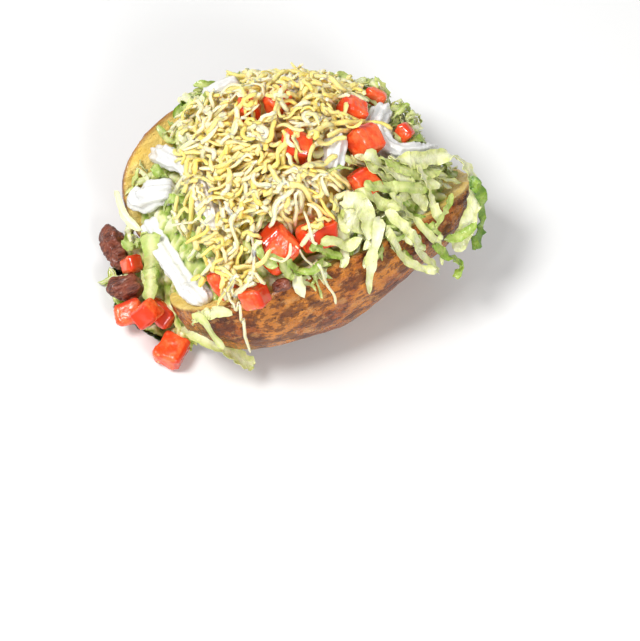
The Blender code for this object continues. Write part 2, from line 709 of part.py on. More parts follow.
def main():
    """Build the potato, the two heaps and every topping that lies on them."""
    clear_scene()
    rng = random.Random(SEED)
    skin = material("potato", (0.42, 0.20, 0.07), 0.5)
    leaf = material("lettuce", (0.50, 0.62, 0.20), 0.45)
    shred = material("cheese", (0.90, 0.70, 0.30), 0.45)
    cream = material("cream", (0.90, 0.89, 0.86), 0.3)
    tomato = material("tomato", (0.80, 0.12, 0.05), 0.25)
    meat = material("meat", (0.28, 0.07, 0.04), 0.4)

    potato = build_potato(skin)
    lettuce = lettuce_core()
    lettuce.data.materials.clear()
    lettuce.data.materials.append(leaf)
    cheese = cheese_core(lettuce)
    cheese.data.materials.append(shred)

    ground = {"potato": tree_of(potato), "filling": tree_of(lettuce),
              "all": tree_of(potato, lettuce, cheese)}
    toppings, rooms = [], []

    def lay(make, *details):
        topping, room = make(*details[:-1], tree_of(potato, *toppings), *details[-1])
        toppings.append(topping)
        rooms.append(room)

    for i, (width, points) in enumerate(CREAM_PATHS):
        lay(cream_ribbon, "cream_%d" % (i + 1), width, points, ground, (cream,))
    for i, chunk in enumerate(MEAT_CHUNKS + SPILLED_MEAT):
        bed = ground["all" if chunk in MEAT_CHUNKS else "filling"]
        lay(meat_chunk, "meat_%d" % (i + 1), chunk, bed, (meat,))
    for i, dice in enumerate(TOMATO_DICE + SPILLED_DICE):
        bed = ground["all" if dice in TOMATO_DICE else "filling"]
        lay(tomato_die, "tomato_%02d" % (i + 1), dice, bed, (tomato, rng))

    for core in (cheese, lettuce):
        copies = [room.copy() for room in rooms]
        for piece in copies:
            bpy.context.scene.collection.objects.link(piece)
        boolean(core, "DIFFERENCE", copies)
    for room in rooms:
        bpy.data.objects.remove(room, do_unlink=True)

    lying = tree_of(*toppings)
    cheese_shreds(cheese, [ground["potato"], tree_of(lettuce), lying], rng)
    lettuce_strips(lettuce, [ground["potato"], tree_of(cheese), lying], tree_of(potato, lettuce, cheese),
                   rng)


main()
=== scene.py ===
"""Looks of a loaded baked potato: skin, flesh, lettuce, grated cheese, cream, tomato and meat.

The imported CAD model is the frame. Each of its nodes is replaced by a finely made piece that keeps
the node's place and form. Lengths are in metres, X runs along the potato, +Y points to its thinner
half and +Z up.
"""
from __future__ import annotations

import logging
import math
import random
from dataclasses import dataclass, field
from enum import Enum
from typing import Callable, Sequence

import bpy
import numpy as np
from mathutils import Matrix, Vector, noise
from mathutils.bvhtree import BVHTree

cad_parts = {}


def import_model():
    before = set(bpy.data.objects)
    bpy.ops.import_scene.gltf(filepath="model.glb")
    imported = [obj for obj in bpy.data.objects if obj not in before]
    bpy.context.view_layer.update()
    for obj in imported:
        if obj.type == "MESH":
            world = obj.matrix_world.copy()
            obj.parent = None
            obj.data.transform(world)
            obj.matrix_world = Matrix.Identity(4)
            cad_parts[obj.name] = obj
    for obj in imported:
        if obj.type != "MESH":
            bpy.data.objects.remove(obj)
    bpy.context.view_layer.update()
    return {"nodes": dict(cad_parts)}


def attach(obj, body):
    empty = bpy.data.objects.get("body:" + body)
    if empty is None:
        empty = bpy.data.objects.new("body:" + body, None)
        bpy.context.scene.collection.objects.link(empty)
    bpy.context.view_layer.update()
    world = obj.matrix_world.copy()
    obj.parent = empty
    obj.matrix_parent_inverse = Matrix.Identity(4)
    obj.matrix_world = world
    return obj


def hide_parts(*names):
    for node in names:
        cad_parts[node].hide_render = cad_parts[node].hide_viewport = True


LOG = logging.getLogger("loaded_potato")
MM = 0.001
SEED = 7
DOWN = Vector((0, 0, -1))
FAR_ABOVE = 0.2
Span = tuple[float, float]


class Slot(Enum):
    """Material slots, one for each finish."""

    SKIN = "skin"
    LETTUCE = "lettuce"
    CHEESE = "cheese"
    CREAM = "cream"
    TOMATO = "tomato"
    MEAT = "meat"


# ---------------------------------------------------------------- small mathematics


def ease(value: np.ndarray | float) -> np.ndarray:
    """Smooth step from 0 to 1.

    Args:
        value: Number or numbers to ease, clipped to 0 and 1.

    Returns:
        The eased numbers.
    """
    value = np.clip(value, 0.0, 1.0)
    return value * value * (3 - 2 * value)


def fractal(points: np.ndarray, size: Sequence[float], seed: float, octaves: int = 3) -> np.ndarray:
    """Fractal noise of about -1 to 1 at some points.

    Args:
        points: Points, one a row, in metres.
        size: Size of the noise's lumps along X, Y and Z, in metres.
        seed: Shift that gives each use a noise of its own.
        octaves: Levels of detail.

    Returns:
        One number for each point.
    """
    scaled = points / np.asarray(size) + seed * 17.31
    return np.array([noise.fractal(Vector(p), 1.0, 2.0, octaves) for p in scaled])


def smooth_curve(places: Sequence[Sequence[float]], spacing: float) -> np.ndarray:
    """Even points along a smooth curve through some places.

    Args:
        places: Places that the curve passes, in metres.
        spacing: Distance between the points.

    Returns:
        The points, one a row.
    """
    pts = np.asarray(places, float)
    pts = np.vstack([2 * pts[0] - pts[1], pts, 2 * pts[-1] - pts[-2]])
    dense = []
    for p0, p1, p2, p3 in zip(pts, pts[1:], pts[2:], pts[3:]):
        for t in np.linspace(0, 1, 16, endpoint=False):
            dense.append(0.5 * (2 * p1 + (p2 - p0) * t + (2 * p0 - 5 * p1 + 4 * p2 - p3) * t * t
                                + (3 * p1 - p0 - 3 * p2 + p3) * t ** 3))
    dense = np.array(dense + [pts[-2]])
    run = np.concatenate([[0], np.cumsum(np.linalg.norm(np.diff(dense, axis=0), axis=1))])
    count = max(4, round(run[-1] / spacing) + 1)
    return np.stack([np.interp(np.linspace(0, run[-1], count), run, dense[:, k])
                     for k in range(dense.shape[1])], 1)


def sideways(points: np.ndarray) -> np.ndarray:
    """Level unit vectors across a line.

    Args:
        points: Points of the line, of which X and Y are used.

    Returns:
        One vector of X and Y for each point, to the right of the line.
    """
    ahead = np.gradient(points[:, :2], axis=0)
    ahead /= np.maximum(1e-9, np.linalg.norm(ahead, axis=1))[:, None]
    return np.stack([ahead[:, 1], -ahead[:, 0]], 1)


def directions(points: np.ndarray) -> np.ndarray:
    """Unit vectors along a line, one for each of its points."""
    ahead = np.gradient(points, axis=0)
    return ahead / np.linalg.norm(ahead, axis=1)[:, None]


# ---------------------------------------------------------------- meshes


@dataclass
class MeshStore:
    """Vertices, faces and point values of one piece, gathered before its mesh is made."""

    verts: list[np.ndarray] = field(default_factory=list)
    faces: list[tuple[int, ...]] = field(default_factory=list)
    values: dict[str, list[np.ndarray]] = field(default_factory=dict)
    count: int = 0

    def add(self, verts: np.ndarray, faces: Sequence[Sequence[int]], **values: np.ndarray | float) -> None:
        """Add a shell.

        Args:
            verts: Its vertices, one a row.
            faces: Its faces, as indices of those vertices.
            values: Named values, one for the shell or one for each vertex.
        """
        self.verts.append(verts)
        self.faces += [tuple(self.count + int(i) for i in face) for face in faces]
        for name, value in values.items():
            spread_out = np.broadcast_to(np.asarray(value, float), (len(verts),))
            self.values.setdefault(name, []).append(spread_out)
        self.count += len(verts)

    def loft(self, rings: np.ndarray, **values: np.ndarray | float) -> None:
        """Add a closed shell through rings, with its ends closed by fans.

        Args:
            rings: Points of the rings, as stations by points by 3.
            values: Named values, one for the shell or stations by points.
        """
        stations, around = rings.shape[:2]
        caps = np.stack([rings[0].mean(0), rings[-1].mean(0)])
        verts = np.vstack([rings.reshape(-1, 3), caps])
        faces = []
        for i in range(stations - 1):
            for j in range(around):
                k = (j + 1) % around
                faces.append((i * around + j, i * around + k, (i + 1) * around + k, (i + 1) * around + j))
        last, first_cap, last_cap = (stations - 1) * around, stations * around, stations * around + 1
        for j in range(around):
            k = (j + 1) % around
            faces.append((k, j, first_cap))
            faces.append((last + j, last + k, last_cap))
        spread = {}
        for name, value in values.items():
            value = np.broadcast_to(np.asarray(value, float), (stations, around))
            spread[name] = np.concatenate([value.ravel(), [value[0].mean(), value[-1].mean()]])
        self.add(verts, faces, **spread)

    def add_mesh(self, mesh: bpy.types.Mesh, **values: np.ndarray | float) -> None:
        """Add a finished mesh as a shell, with named values."""
        self.add(points_of(mesh), [tuple(p.vertices) for p in mesh.polygons], **values)

    def build(self, name: str, sharp: float | None = None) -> bpy.types.Object:
        """Make the object, smooth shaded, with its values as mesh attributes.

        Args:
            name: Name of the object.
            sharp: Angle between faces above which an edge is sharp, or None.

        Returns:
            The object, linked to the scene.
        """
        mesh = bpy.data.meshes.new(name)
        mesh.from_pydata(np.vstack(self.verts).tolist(), [], self.faces)
        mesh.polygons.foreach_set("use_smooth", [True] * len(mesh.polygons))
        for key, parts in self.values.items():
            mesh.attributes.new(key, "FLOAT", "POINT").data.foreach_set("value", np.concatenate(parts))
        mesh.update()
        if sharp is not None:
            mesh.set_sharp_from_angle(angle=sharp)
        obj = bpy.data.objects.new(name, mesh)
        bpy.context.scene.collection.objects.link(obj)
        return obj


def points_of(mesh: bpy.types.Mesh) -> np.ndarray:
    """Vertices of a mesh, one a row.

    Args:
        mesh: The mesh.

    Returns:
        Array of X, Y and Z.
    """
    flat = np.empty(len(mesh.vertices) * 3)
    mesh.vertices.foreach_get("co", flat)
    return flat.reshape(-1, 3)


def normals_of(mesh: bpy.types.Mesh) -> np.ndarray:
    """Vertex normals of a mesh, one a row.

    Args:
        mesh: The mesh.

    Returns:
        Array of X, Y and Z.
    """
    flat = np.empty(len(mesh.vertices) * 3)
    mesh.vertices.foreach_get("normal", flat)
    return flat.reshape(-1, 3)


def reshape(mesh: bpy.types.Mesh, points: np.ndarray) -> None:
    """Move the vertices of a mesh to new points."""
    mesh.vertices.foreach_set("co", points.ravel())
    mesh.update()


def remeshed(source: bpy.types.Object, voxel: float, rounds: int) -> bpy.types.Mesh:
    """Even, rounded mesh of an object's outside.

    Args:
        source: Object whose shape is taken; it stays as it is.
        voxel: Size of the new faces.
        rounds: Rounds of smoothing.

    Returns:
        The new mesh.
    """
    copy = bpy.data.objects.new("shape", source.data.copy())
    bpy.context.scene.collection.objects.link(copy)
    remesh = copy.modifiers.new("even", "REMESH")
    remesh.mode = "VOXEL"
    remesh.voxel_size = voxel
    soften = copy.modifiers.new("soften", "SMOOTH")
    soften.iterations = rounds
    soften.factor = 0.5
    bpy.context.view_layer.update()
    mesh = bpy.data.meshes.new_from_object(copy.evaluated_get(bpy.context.evaluated_depsgraph_get()))
    bpy.data.objects.remove(copy, do_unlink=True)
    return mesh


def tree_of(objects: Sequence[bpy.types.Object]) -> BVHTree:
    """Search tree over the faces of some objects.

    Args:
        objects: The objects, all of them meshes.

    Returns:
        The tree.
    """
    verts: list[tuple[float, ...]] = []
    faces: list[list[int]] = []
    for obj in objects:
        start = len(verts)
        verts += [tuple(v.co) for v in obj.data.vertices]
        faces += [[start + i for i in p.vertices] for p in obj.data.polygons]
    return BVHTree.FromPolygons(verts, faces)


# ---------------------------------------------------------------- materials


class Graph:
    """Short way to add and join the nodes of a material or a node group."""

    def __init__(self, tree: bpy.types.NodeTree) -> None:
        """Keep the tree that the nodes go into."""
        self.tree = tree

    def feed(self, socket: bpy.types.NodeSocket, value: object) -> None:
        """Join a socket to another one, or set its value.

        Args:
            socket: Input to feed.
            value: Output socket, number, vector or colour.
        """
        if isinstance(value, bpy.types.NodeSocket):
            self.tree.links.new(value, socket)
        elif socket.type == "RGBA" and len(value) == 3:
            socket.default_value = (*value, 1.0)
        else:
            socket.default_value = value

    def add(self, kind: str, inputs: dict[str | int, object] | None = None,
            **settings: object) -> bpy.types.Node:
        """Add a node.

        Args:
            kind: Its type.
            inputs: What its inputs are joined or set to.
            settings: Its own settings.

        Returns:
            The node.
        """
        node = self.tree.nodes.new(kind)
        for name, value in settings.items():
            setattr(node, name, value)
        for name, value in (inputs or {}).items():
            self.feed(node.inputs[name], value)
        return node

    def math(self, operation: str, a: object, b: object = 0.0) -> bpy.types.NodeSocket:
        """Result of a Math node of two inputs."""
        return self.add("ShaderNodeMath", {0: a, 1: b}, operation=operation).outputs[0]

    def plus(self, a: object, b: object) -> bpy.types.NodeSocket:
        """Sum of two inputs."""
        return self.math("ADD", a, b)

    def minus(self, a: object, b: object) -> bpy.types.NodeSocket:
        """First input less the second."""
        return self.math("SUBTRACT", a, b)

    def times(self, a: object, b: object) -> bpy.types.NodeSocket:
        """Product of two inputs."""
        return self.math("MULTIPLY", a, b)

    def mix(self, factor: object, a: object, b: object) -> bpy.types.NodeSocket:
        """Colour that goes from a to b with a factor."""
        return self.add("ShaderNodeMix", {0: factor, 6: a, 7: b}, data_type="RGBA").outputs[2]

    def value(self, name: str) -> bpy.types.NodeSocket:
        """Point value that a mesh carries."""
        return self.add("ShaderNodeAttribute", attribute_name=name).outputs["Fac"]

    def group(self, tree: bpy.types.NodeTree, **inputs: object) -> bpy.types.NodeSocket:
        """First output of a shared group, with its inputs set.

        Args:
            tree: The group.
            inputs: Its inputs by name.

        Returns:
            The output socket.
        """
        node = self.add("ShaderNodeGroup", node_tree=tree)
        for name, value in inputs.items():
            self.feed(node.inputs[name], value)
        return node.outputs[0]


@dataclass
class Effects:
    """Shader groups that several finishes share: mottling, specks and relief."""

    mottle: bpy.types.NodeTree = field(init=False)
    specks: bpy.types.NodeTree = field(init=False)
    relief: bpy.types.NodeTree = field(init=False)

    def __post_init__(self) -> None:
        """Build the three groups once."""
        self.mottle = self._mottle()
        self.specks = self._specks()
        self.relief = self._relief()

    @staticmethod
    def _start(name: str, inputs: dict[str, float],
               output: str) -> tuple[Graph, bpy.types.Node, bpy.types.Node]:
        """New group with float sockets.

        Args:
            name: Its name.
            inputs: Names and defaults of its inputs.
            output: Name of its output.

        Returns:
            Its graph, its input node and its output node.
        """
        tree = bpy.data.node_groups.new(name, "ShaderNodeTree")
        for key, default in inputs.items():
            socket = tree.interface.new_socket(name=key, in_out="INPUT", socket_type="NodeSocketFloat")
            socket.default_value = default
        tree.interface.new_socket(name=output, in_out="OUTPUT", socket_type="NodeSocketFloat")
        graph = Graph(tree)
        return graph, graph.add("NodeGroupInput"), graph.add("NodeGroupOutput")

    @staticmethod
    def _place(graph: Graph, size: object, stretch: object) -> bpy.types.NodeSocket:
        """Place on the part, counted in lumps.

        Args:
            graph: Nodes of the group.
            size: Size of the lumps, in millimetres.
            stretch: How many times longer they are along X.

        Returns:
            Vector for a texture.
        """
        place = graph.add("ShaderNodeTexCoord").outputs["Object"]
        scale = graph.math("DIVIDE", 1000.0, size)
        along = graph.math("DIVIDE", scale, stretch)
        factors = graph.add("ShaderNodeCombineXYZ", {0: along, 1: scale, 2: scale}).outputs[0]
        return graph.add("ShaderNodeVectorMath", {0: place, 1: factors}, operation="MULTIPLY").outputs[0]

    def _mottle(self) -> bpy.types.NodeTree:
        """Soft patches: Size in mm, Stretch along X, Level where they begin and Soft edge.

        Returns:
            The group.
        """
        graph, given, result = self._start(
            "mottle", {"Size": 5.0, "Stretch": 1.0, "Level": 0.5, "Soft": 0.1}, "Mask")
        place = self._place(graph, given.outputs["Size"], given.outputs["Stretch"])
        cloud = graph.add("ShaderNodeTexNoise",
                          {"Vector": place, "Scale": 1.0, "Detail": 5.0, "Roughness": 0.6})
        low = graph.minus(given.outputs["Level"], given.outputs["Soft"])
        high = graph.plus(given.outputs["Level"], given.outputs["Soft"])
        mask = graph.add("ShaderNodeMapRange", {0: cloud.outputs[0], 1: low, 2: high},
                         interpolation_type="SMOOTHSTEP")
        graph.feed(result.inputs[0], mask.outputs[0])
        return graph.tree

    def _specks(self) -> bpy.types.NodeTree:
        """Scattered dots: Size of their cells in mm, Radius as a share of it, and Share that shows.

        Returns:
            The group.
        """
        graph, given, result = self._start("specks", {"Size": 4.0, "Radius": 0.2, "Share": 0.5}, "Mask")
        place = self._place(graph, given.outputs["Size"], 1.0)
        cells = graph.add("ShaderNodeTexVoronoi", {"Vector": place, "Scale": 1.0, "Randomness": 1.0})
        inner = graph.times(given.outputs["Radius"], 0.4)
        dot = graph.add("ShaderNodeMapRange",
                        {0: cells.outputs["Distance"], 1: given.outputs["Radius"], 2: inner})
        chance = graph.add("ShaderNodeSeparateColor", {0: cells.outputs["Color"]}).outputs[0]
        shown = graph.math("LESS_THAN", chance, given.outputs["Share"])
        graph.feed(result.inputs[0], graph.times(dot.outputs[0], shown))
        return graph.tree

    def _relief(self) -> bpy.types.NodeTree:
        """Uneven height, in mm: Size of the lumps, Stretch along X and Depth.

        Returns:
            The group.
        """
        graph, given, result = self._start("relief", {"Size": 2.0, "Stretch": 1.0, "Depth": 0.2}, "Height")
        place = self._place(graph, given.outputs["Size"], given.outputs["Stretch"])
        lumps = graph.add("ShaderNodeTexNoise",
                          {"Vector": place, "Scale": 1.0, "Detail": 4.0, "Roughness": 0.55})
        centred = graph.minus(lumps.outputs[0], 0.5)
        graph.feed(result.inputs[0], graph.times(centred, given.outputs["Depth"]))
        return graph.tree


@dataclass(frozen=True)
class Finish:
    """Base of every finish: one Principled material whose gloss is set on the shader's own sockets."""

    name: str
    gloss: dict[str, object]

    def build(self, effects: Effects) -> bpy.types.Material:
        """Make the material.

        Args:
            effects: The shared groups.

        Returns:
            The material, its colour, roughness and relief fed by nodes.
        """
        mat = bpy.data.materials.new(self.name)
        mat.use_nodes = True
        graph = Graph(mat.node_tree)
        shader = mat.node_tree.nodes["Principled BSDF"]
        for key, value in self.gloss.items():
            graph.feed(shader.inputs[key], value)
        colour, roughness, height = self.surface(graph, effects)
        graph.feed(shader.inputs["Base Color"], colour)
        graph.feed(shader.inputs["Roughness"], roughness)
        bump = graph.add("ShaderNodeBump", {"Height": height, "Distance": MM, "Strength": 1.0})
        graph.feed(shader.inputs["Normal"], bump.outputs[0])
        return mat

    def surface(self, graph: Graph, effects: Effects) -> tuple[object, object, object]:
        """Colour, roughness and height in mm; each finish gives its own."""
        raise NotImplementedError


@dataclass(frozen=True)
class PotatoFinish(Finish):
    """Oiled russet skin, and waxy golden flesh where a mesh's `cut` value is 1."""

    russet: tuple[float, ...] = (0.36, 0.088, 0.013)
    dark: tuple[float, ...] = (0.070, 0.014, 0.004)
    light: tuple[float, ...] = (0.66, 0.31, 0.09)
    golden: tuple[float, ...] = (0.66, 0.235, 0.032)
    pit: tuple[float, ...] = (0.035, 0.012, 0.006)
    flesh: tuple[float, ...] = (0.82, 0.54, 0.11)
    pale_flesh: tuple[float, ...] = (0.88, 0.66, 0.22)
    browned: tuple[float, ...] = (0.33, 0.125, 0.025)

    def surface(self, graph: Graph, effects: Effects) -> tuple[object, object, object]:
        """Mottled skin with pits, wrinkled at its ends, and flesh browned along its rim.

        Args:
            graph: The material's nodes.
            effects: The shared groups.

        Returns:
            Colour, roughness and height in mm.
        """
        cut, rim, end = graph.value("cut"), graph.value("rim"), graph.value("end")
        broad = graph.group(effects.mottle, Size=16.0, Level=0.5, Soft=0.10)
        patches = graph.group(effects.mottle, Size=6.0, Stretch=1.5, Level=0.53, Soft=0.05)
        streaks = graph.group(effects.mottle, Size=2.2, Stretch=1.8, Level=0.54, Soft=0.05)
        flakes = graph.group(effects.mottle, Size=5.0, Stretch=1.4, Level=0.60, Soft=0.04)
        pits = graph.group(effects.specks, Size=3.6, Radius=0.16, Share=0.45)
        skin = graph.mix(broad, self.russet, self.golden)
        skin = graph.mix(graph.times(end, 0.55), skin, self.dark)
        skin = graph.mix(graph.times(patches, 0.72), skin, self.dark)
        skin = graph.mix(graph.times(streaks, 0.70), skin, self.dark)
        skin = graph.mix(graph.times(flakes, 0.55), skin, self.light)
        skin = graph.mix(graph.times(pits, 0.9), skin, self.pit)
        moist = graph.group(effects.mottle, Size=6.0, Level=0.5, Soft=0.15)
        waxy = graph.mix(moist, self.flesh, self.pale_flesh)
        burnt = graph.group(effects.specks, Size=7.0, Radius=0.16, Share=0.25)
        waxy = graph.mix(graph.times(rim, 0.85), waxy, self.browned)
        waxy = graph.mix(graph.times(burnt, 0.6), waxy, self.browned)
        colour = graph.mix(cut, skin, waxy)
        rough = graph.plus(graph.times(patches, 0.15), 0.24)
        rough = graph.plus(rough, graph.times(cut, 0.10))
        wrinkles = graph.group(effects.relief, Size=2.4, Stretch=3.0, Depth=2.4)
        grain = graph.group(effects.relief, Size=0.9, Depth=0.8)
        height = graph.plus(graph.times(wrinkles, graph.plus(0.55, end)), grain)
        height = graph.plus(height, graph.times(flakes, 0.12))
        height = graph.minus(height, graph.times(pits, 0.25))
        return colour, rough, height


@dataclass(frozen=True)
class LettuceFinish(Finish):
    """Crisp iceberg lettuce, from white ribs to pale and deep green."""

    white: tuple[float, ...] = (0.80, 0.80, 0.54)
    pale: tuple[float, ...] = (0.64, 0.68, 0.25)
    green: tuple[float, ...] = (0.26, 0.39, 0.040)
    deep: tuple[float, ...] = (0.065, 0.165, 0.014)

    def surface(self, graph: Graph, effects: Effects) -> tuple[object, object, object]:
        """Colour by the `tone` of each strip, white along its `rib`, with fine veins.

        Args:
            graph: The material's nodes.
            effects: The shared groups.

        Returns:
            Colour, roughness and height in mm.
        """
        tone, rib = graph.value("tone"), graph.value("rib")
        patch = graph.group(effects.mottle, Size=5.0, Level=0.5, Soft=0.14)
        shade = graph.plus(tone, graph.times(graph.minus(patch, 0.5), 0.22))
        steps = ((0.0, 0.35, self.white, self.pale), (0.35, 0.75, None, self.green),
                 (0.75, 1.0, None, self.deep))
        colour: object = self.white
        for low, high, start, end in steps:
            reach = graph.add("ShaderNodeMapRange", {0: shade, 1: low, 2: high}).outputs[0]
            colour = graph.mix(reach, start or colour, end)
        colour = graph.mix(graph.times(rib, 0.8), colour, self.white)
        veins = graph.group(effects.relief, Size=1.6, Depth=0.5)
        rough = graph.plus(0.20, graph.times(patch, 0.15))
        return colour, rough, veins


@dataclass(frozen=True)
class CheeseFinish(Finish):
    """Grated cheese of two kinds, creamy white and light yellow."""

    white: tuple[float, ...] = (1.0, 0.865, 0.54)
    yellow: tuple[float, ...] = (1.0, 0.69, 0.17)

    def surface(self, graph: Graph, effects: Effects) -> tuple[object, object, object]:
        """Colour by the `tone` of each shred, a little uneven.

        Args:
            graph: The material's nodes.
            effects: The shared groups.

        Returns:
            Colour, roughness and height in mm.
        """
        patch = graph.group(effects.mottle, Size=4.0, Level=0.5, Soft=0.2)
        uneven = graph.times(graph.minus(patch, 0.5), 0.2)
        shade = graph.plus(graph.value("tone"), uneven)
        colour = graph.mix(graph.add("ShaderNodeClamp", {0: shade}).outputs[0], self.white, self.yellow)
        rough = graph.plus(0.36, graph.times(patch, 0.15))
        return colour, rough, graph.group(effects.relief, Size=1.1, Depth=0.25)


@dataclass(frozen=True)
class CreamFinish(Finish):
    """Smooth white cream with a soft gloss."""

    white: tuple[float, ...] = (0.74, 0.74, 0.73)
    warm: tuple[float, ...] = (0.74, 0.72, 0.66)

    def surface(self, graph: Graph, effects: Effects) -> tuple[object, object, object]:
        """Almost one white, with small curdled relief.

        Args:
            graph: The material's nodes.
            effects: The shared groups.

        Returns:
            Colour, roughness and height in mm.
        """
        patch = graph.group(effects.mottle, Size=6.0, Level=0.5, Soft=0.2)
        colour = graph.mix(graph.times(patch, 0.4), self.white, self.warm)
        rough = graph.plus(0.24, graph.times(patch, 0.12))
        return colour, rough, graph.group(effects.relief, Size=2.0, Depth=0.3)


@dataclass(frozen=True)
class TomatoFinish(Finish):
    """Diced tomato: glossy skin on one side, paler wet flesh on the others."""

    skin: tuple[float, ...] = (0.66, 0.045, 0.010)
    flesh: tuple[float, ...] = (0.84, 0.070, 0.012)
    core: tuple[float, ...] = (0.90, 0.17, 0.045)
    seed: tuple[float, ...] = (0.90, 0.60, 0.18)

    def surface(self, graph: Graph, effects: Effects) -> tuple[object, object, object]:
        """Flesh with pale cores and a few seeds, covered by skin where `skin` is 1.

        Args:
            graph: The material's nodes.
            effects: The shared groups.

        Returns:
            Colour, roughness and height in mm.
        """
        outside = graph.value("skin")
        patch = graph.group(effects.mottle, Size=4.5, Level=0.50, Soft=0.10)
        seeds = graph.group(effects.specks, Size=4.2, Radius=0.22, Share=0.22)
        inside = graph.mix(graph.times(patch, 0.75), self.flesh, self.core)
        inside = graph.mix(graph.times(seeds, 0.8), inside, self.seed)
        colour = graph.mix(outside, inside, self.skin)
        rough = graph.minus(0.27, graph.times(outside, 0.13))
        height = graph.plus(graph.group(effects.relief, Size=1.6, Depth=0.25),
                            graph.times(seeds, 0.25))
        height = graph.times(height, graph.minus(1.15, outside))
        return colour, rough, height


@dataclass(frozen=True)
class MeatFinish(Finish):
    """Pulled beef: dark, moist, with paler fibres."""

    dark: tuple[float, ...] = (0.085, 0.015, 0.007)
    brown: tuple[float, ...] = (0.21, 0.042, 0.017)
    fibre: tuple[float, ...] = (0.36, 0.115, 0.055)

    def surface(self, graph: Graph, effects: Effects) -> tuple[object, object, object]:
        """Fibres along the chunk in three browns.

        Args:
            graph: The material's nodes.
            effects: The shared groups.

        Returns:
            Colour, roughness and height in mm.
        """
        broad = graph.group(effects.mottle, Size=3.5, Stretch=2.0, Level=0.5, Soft=0.1)
        strands = graph.group(effects.mottle, Size=1.1, Stretch=4.0, Level=0.54, Soft=0.08)
        colour = graph.mix(broad, self.dark, self.brown)
        colour = graph.mix(graph.times(strands, 0.6), colour, self.fibre)
        rough = graph.plus(0.28, graph.times(broad, 0.2))
        return colour, rough, graph.group(effects.relief, Size=1.0, Stretch=4.0, Depth=1.4)


@dataclass(frozen=True)
class FloorFinish(Finish):
    """Plain pale floor."""

    shade: tuple[float, ...] = (0.74, 0.74, 0.735)

    def surface(self, graph: Graph, effects: Effects) -> tuple[object, object, object]:
        """One pale colour with the faintest mottling.

        Args:
            graph: The material's nodes.
            effects: The shared groups.

        Returns:
            Colour, roughness and height in mm.
        """
        patch = graph.group(effects.mottle, Size=60.0, Level=0.5, Soft=0.3)
        colour = graph.mix(graph.times(patch, 0.03), self.shade, (0.70, 0.70, 0.70))
        return colour, 0.6, graph.group(effects.relief, Size=1.0, Depth=0.02)


def soft_body(weight: float, scale: float, radius: tuple[float, float, float],
              **more: object) -> dict[str, object]:
    """Shader settings of a food that lets a little light in.

    Args:
        weight: Share of the light that goes in.
        scale: How far it goes, in metres.
        radius: How far red, green and blue go, as shares.
        more: Further settings by socket name.

    Returns:
        Settings by socket name.
    """
    names = {key.replace("_", " "): value for key, value in more.items()}
    return {"Subsurface Weight": weight, "Subsurface Scale": scale, "Subsurface Radius": radius, **names}


def dress(piece: bpy.types.Object, mat: bpy.types.Material, slot: Slot, *nodes: str) -> None:
    """Give a piece its material and its place in the part, and report it.

    Args:
        piece: The piece.
        mat: Its material.
        slot: Not used.
        nodes: CAD nodes that it replaces.
    """
    piece.data.materials.clear()
    piece.data.materials.append(mat)
    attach(piece, "root")
    if nodes:
        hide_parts(*nodes)
    LOG.info("%s: %d faces", piece.name, len(piece.data.polygons))


# ---------------------------------------------------------------- potato


@dataclass(frozen=True)
class Half:
    """One half of the potato, turned outwards about the hinge."""

    side: int
    open_angle: float
    thick: float
    left: float
    right: float
    drop: float
    taper: float = 0.20
    half_height: float = 36 * MM
    above_hinge: float = 30 * MM
    hinge_z: float = 14 * MM
    bluntness: float = 2.5

    def height(self, t: np.ndarray) -> np.ndarray:
        """Half the height of the section at t, before the ends round it off."""
        return self.half_height * (1 - self.drop * ease((t + 0.12) / 1.12) ** 0.8)

    def scale(self, t: np.ndarray) -> np.ndarray:
        """Size of the section at t, from 1 in the middle to 0 at the ends."""
        return np.maximum(0.0, 1 - np.abs(t) ** self.bluntness) ** (1 / self.bluntness)

    def middle(self, t: np.ndarray) -> np.ndarray:
        """Distance from the hinge to the middle of the cut face at t."""
        return self.above_hinge - (self.half_height - self.height(t)) / 2

    def rim(self, t: np.ndarray) -> np.ndarray:
        """Distance from the hinge to the rim at t."""
        return self.middle(t) + self.height(t) * self.scale(t)

    def place(self, t: np.ndarray, along: np.ndarray, out: np.ndarray) -> np.ndarray:
        """Points of the half, given on its cut face.

        Args:
            t: Place along the potato, from -1 at its left end to 1 at its right end.
            along: Distance up the cut face from the hinge.
            out: Distance from the cut face towards the skin.

        Returns:
            Points in the part's frame.
        """
        sin, cos = math.sin(self.open_angle), math.cos(self.open_angle)
        x = np.where(t > 0, self.right, self.left) * t
        y = self.side * (along * sin + out * cos)
        return np.stack([x, y, self.hinge_z + along * cos - out * sin], -1)

    def local(self, points: np.ndarray) -> tuple[np.ndarray, np.ndarray, np.ndarray]:
        """The reverse of `place`.

        Args:
            points: Points in the part's frame, one a row.

        Returns:
            The t, along and out of each, as `place` takes them.
        """
        sin, cos = math.sin(self.open_angle), math.cos(self.open_angle)
        t = points[:, 0] / np.where(points[:, 0] > 0, self.right, self.left)
        y, z = self.side * points[:, 1], points[:, 2] - self.hinge_z
        return t, y * sin + z * cos, y * cos - z * sin


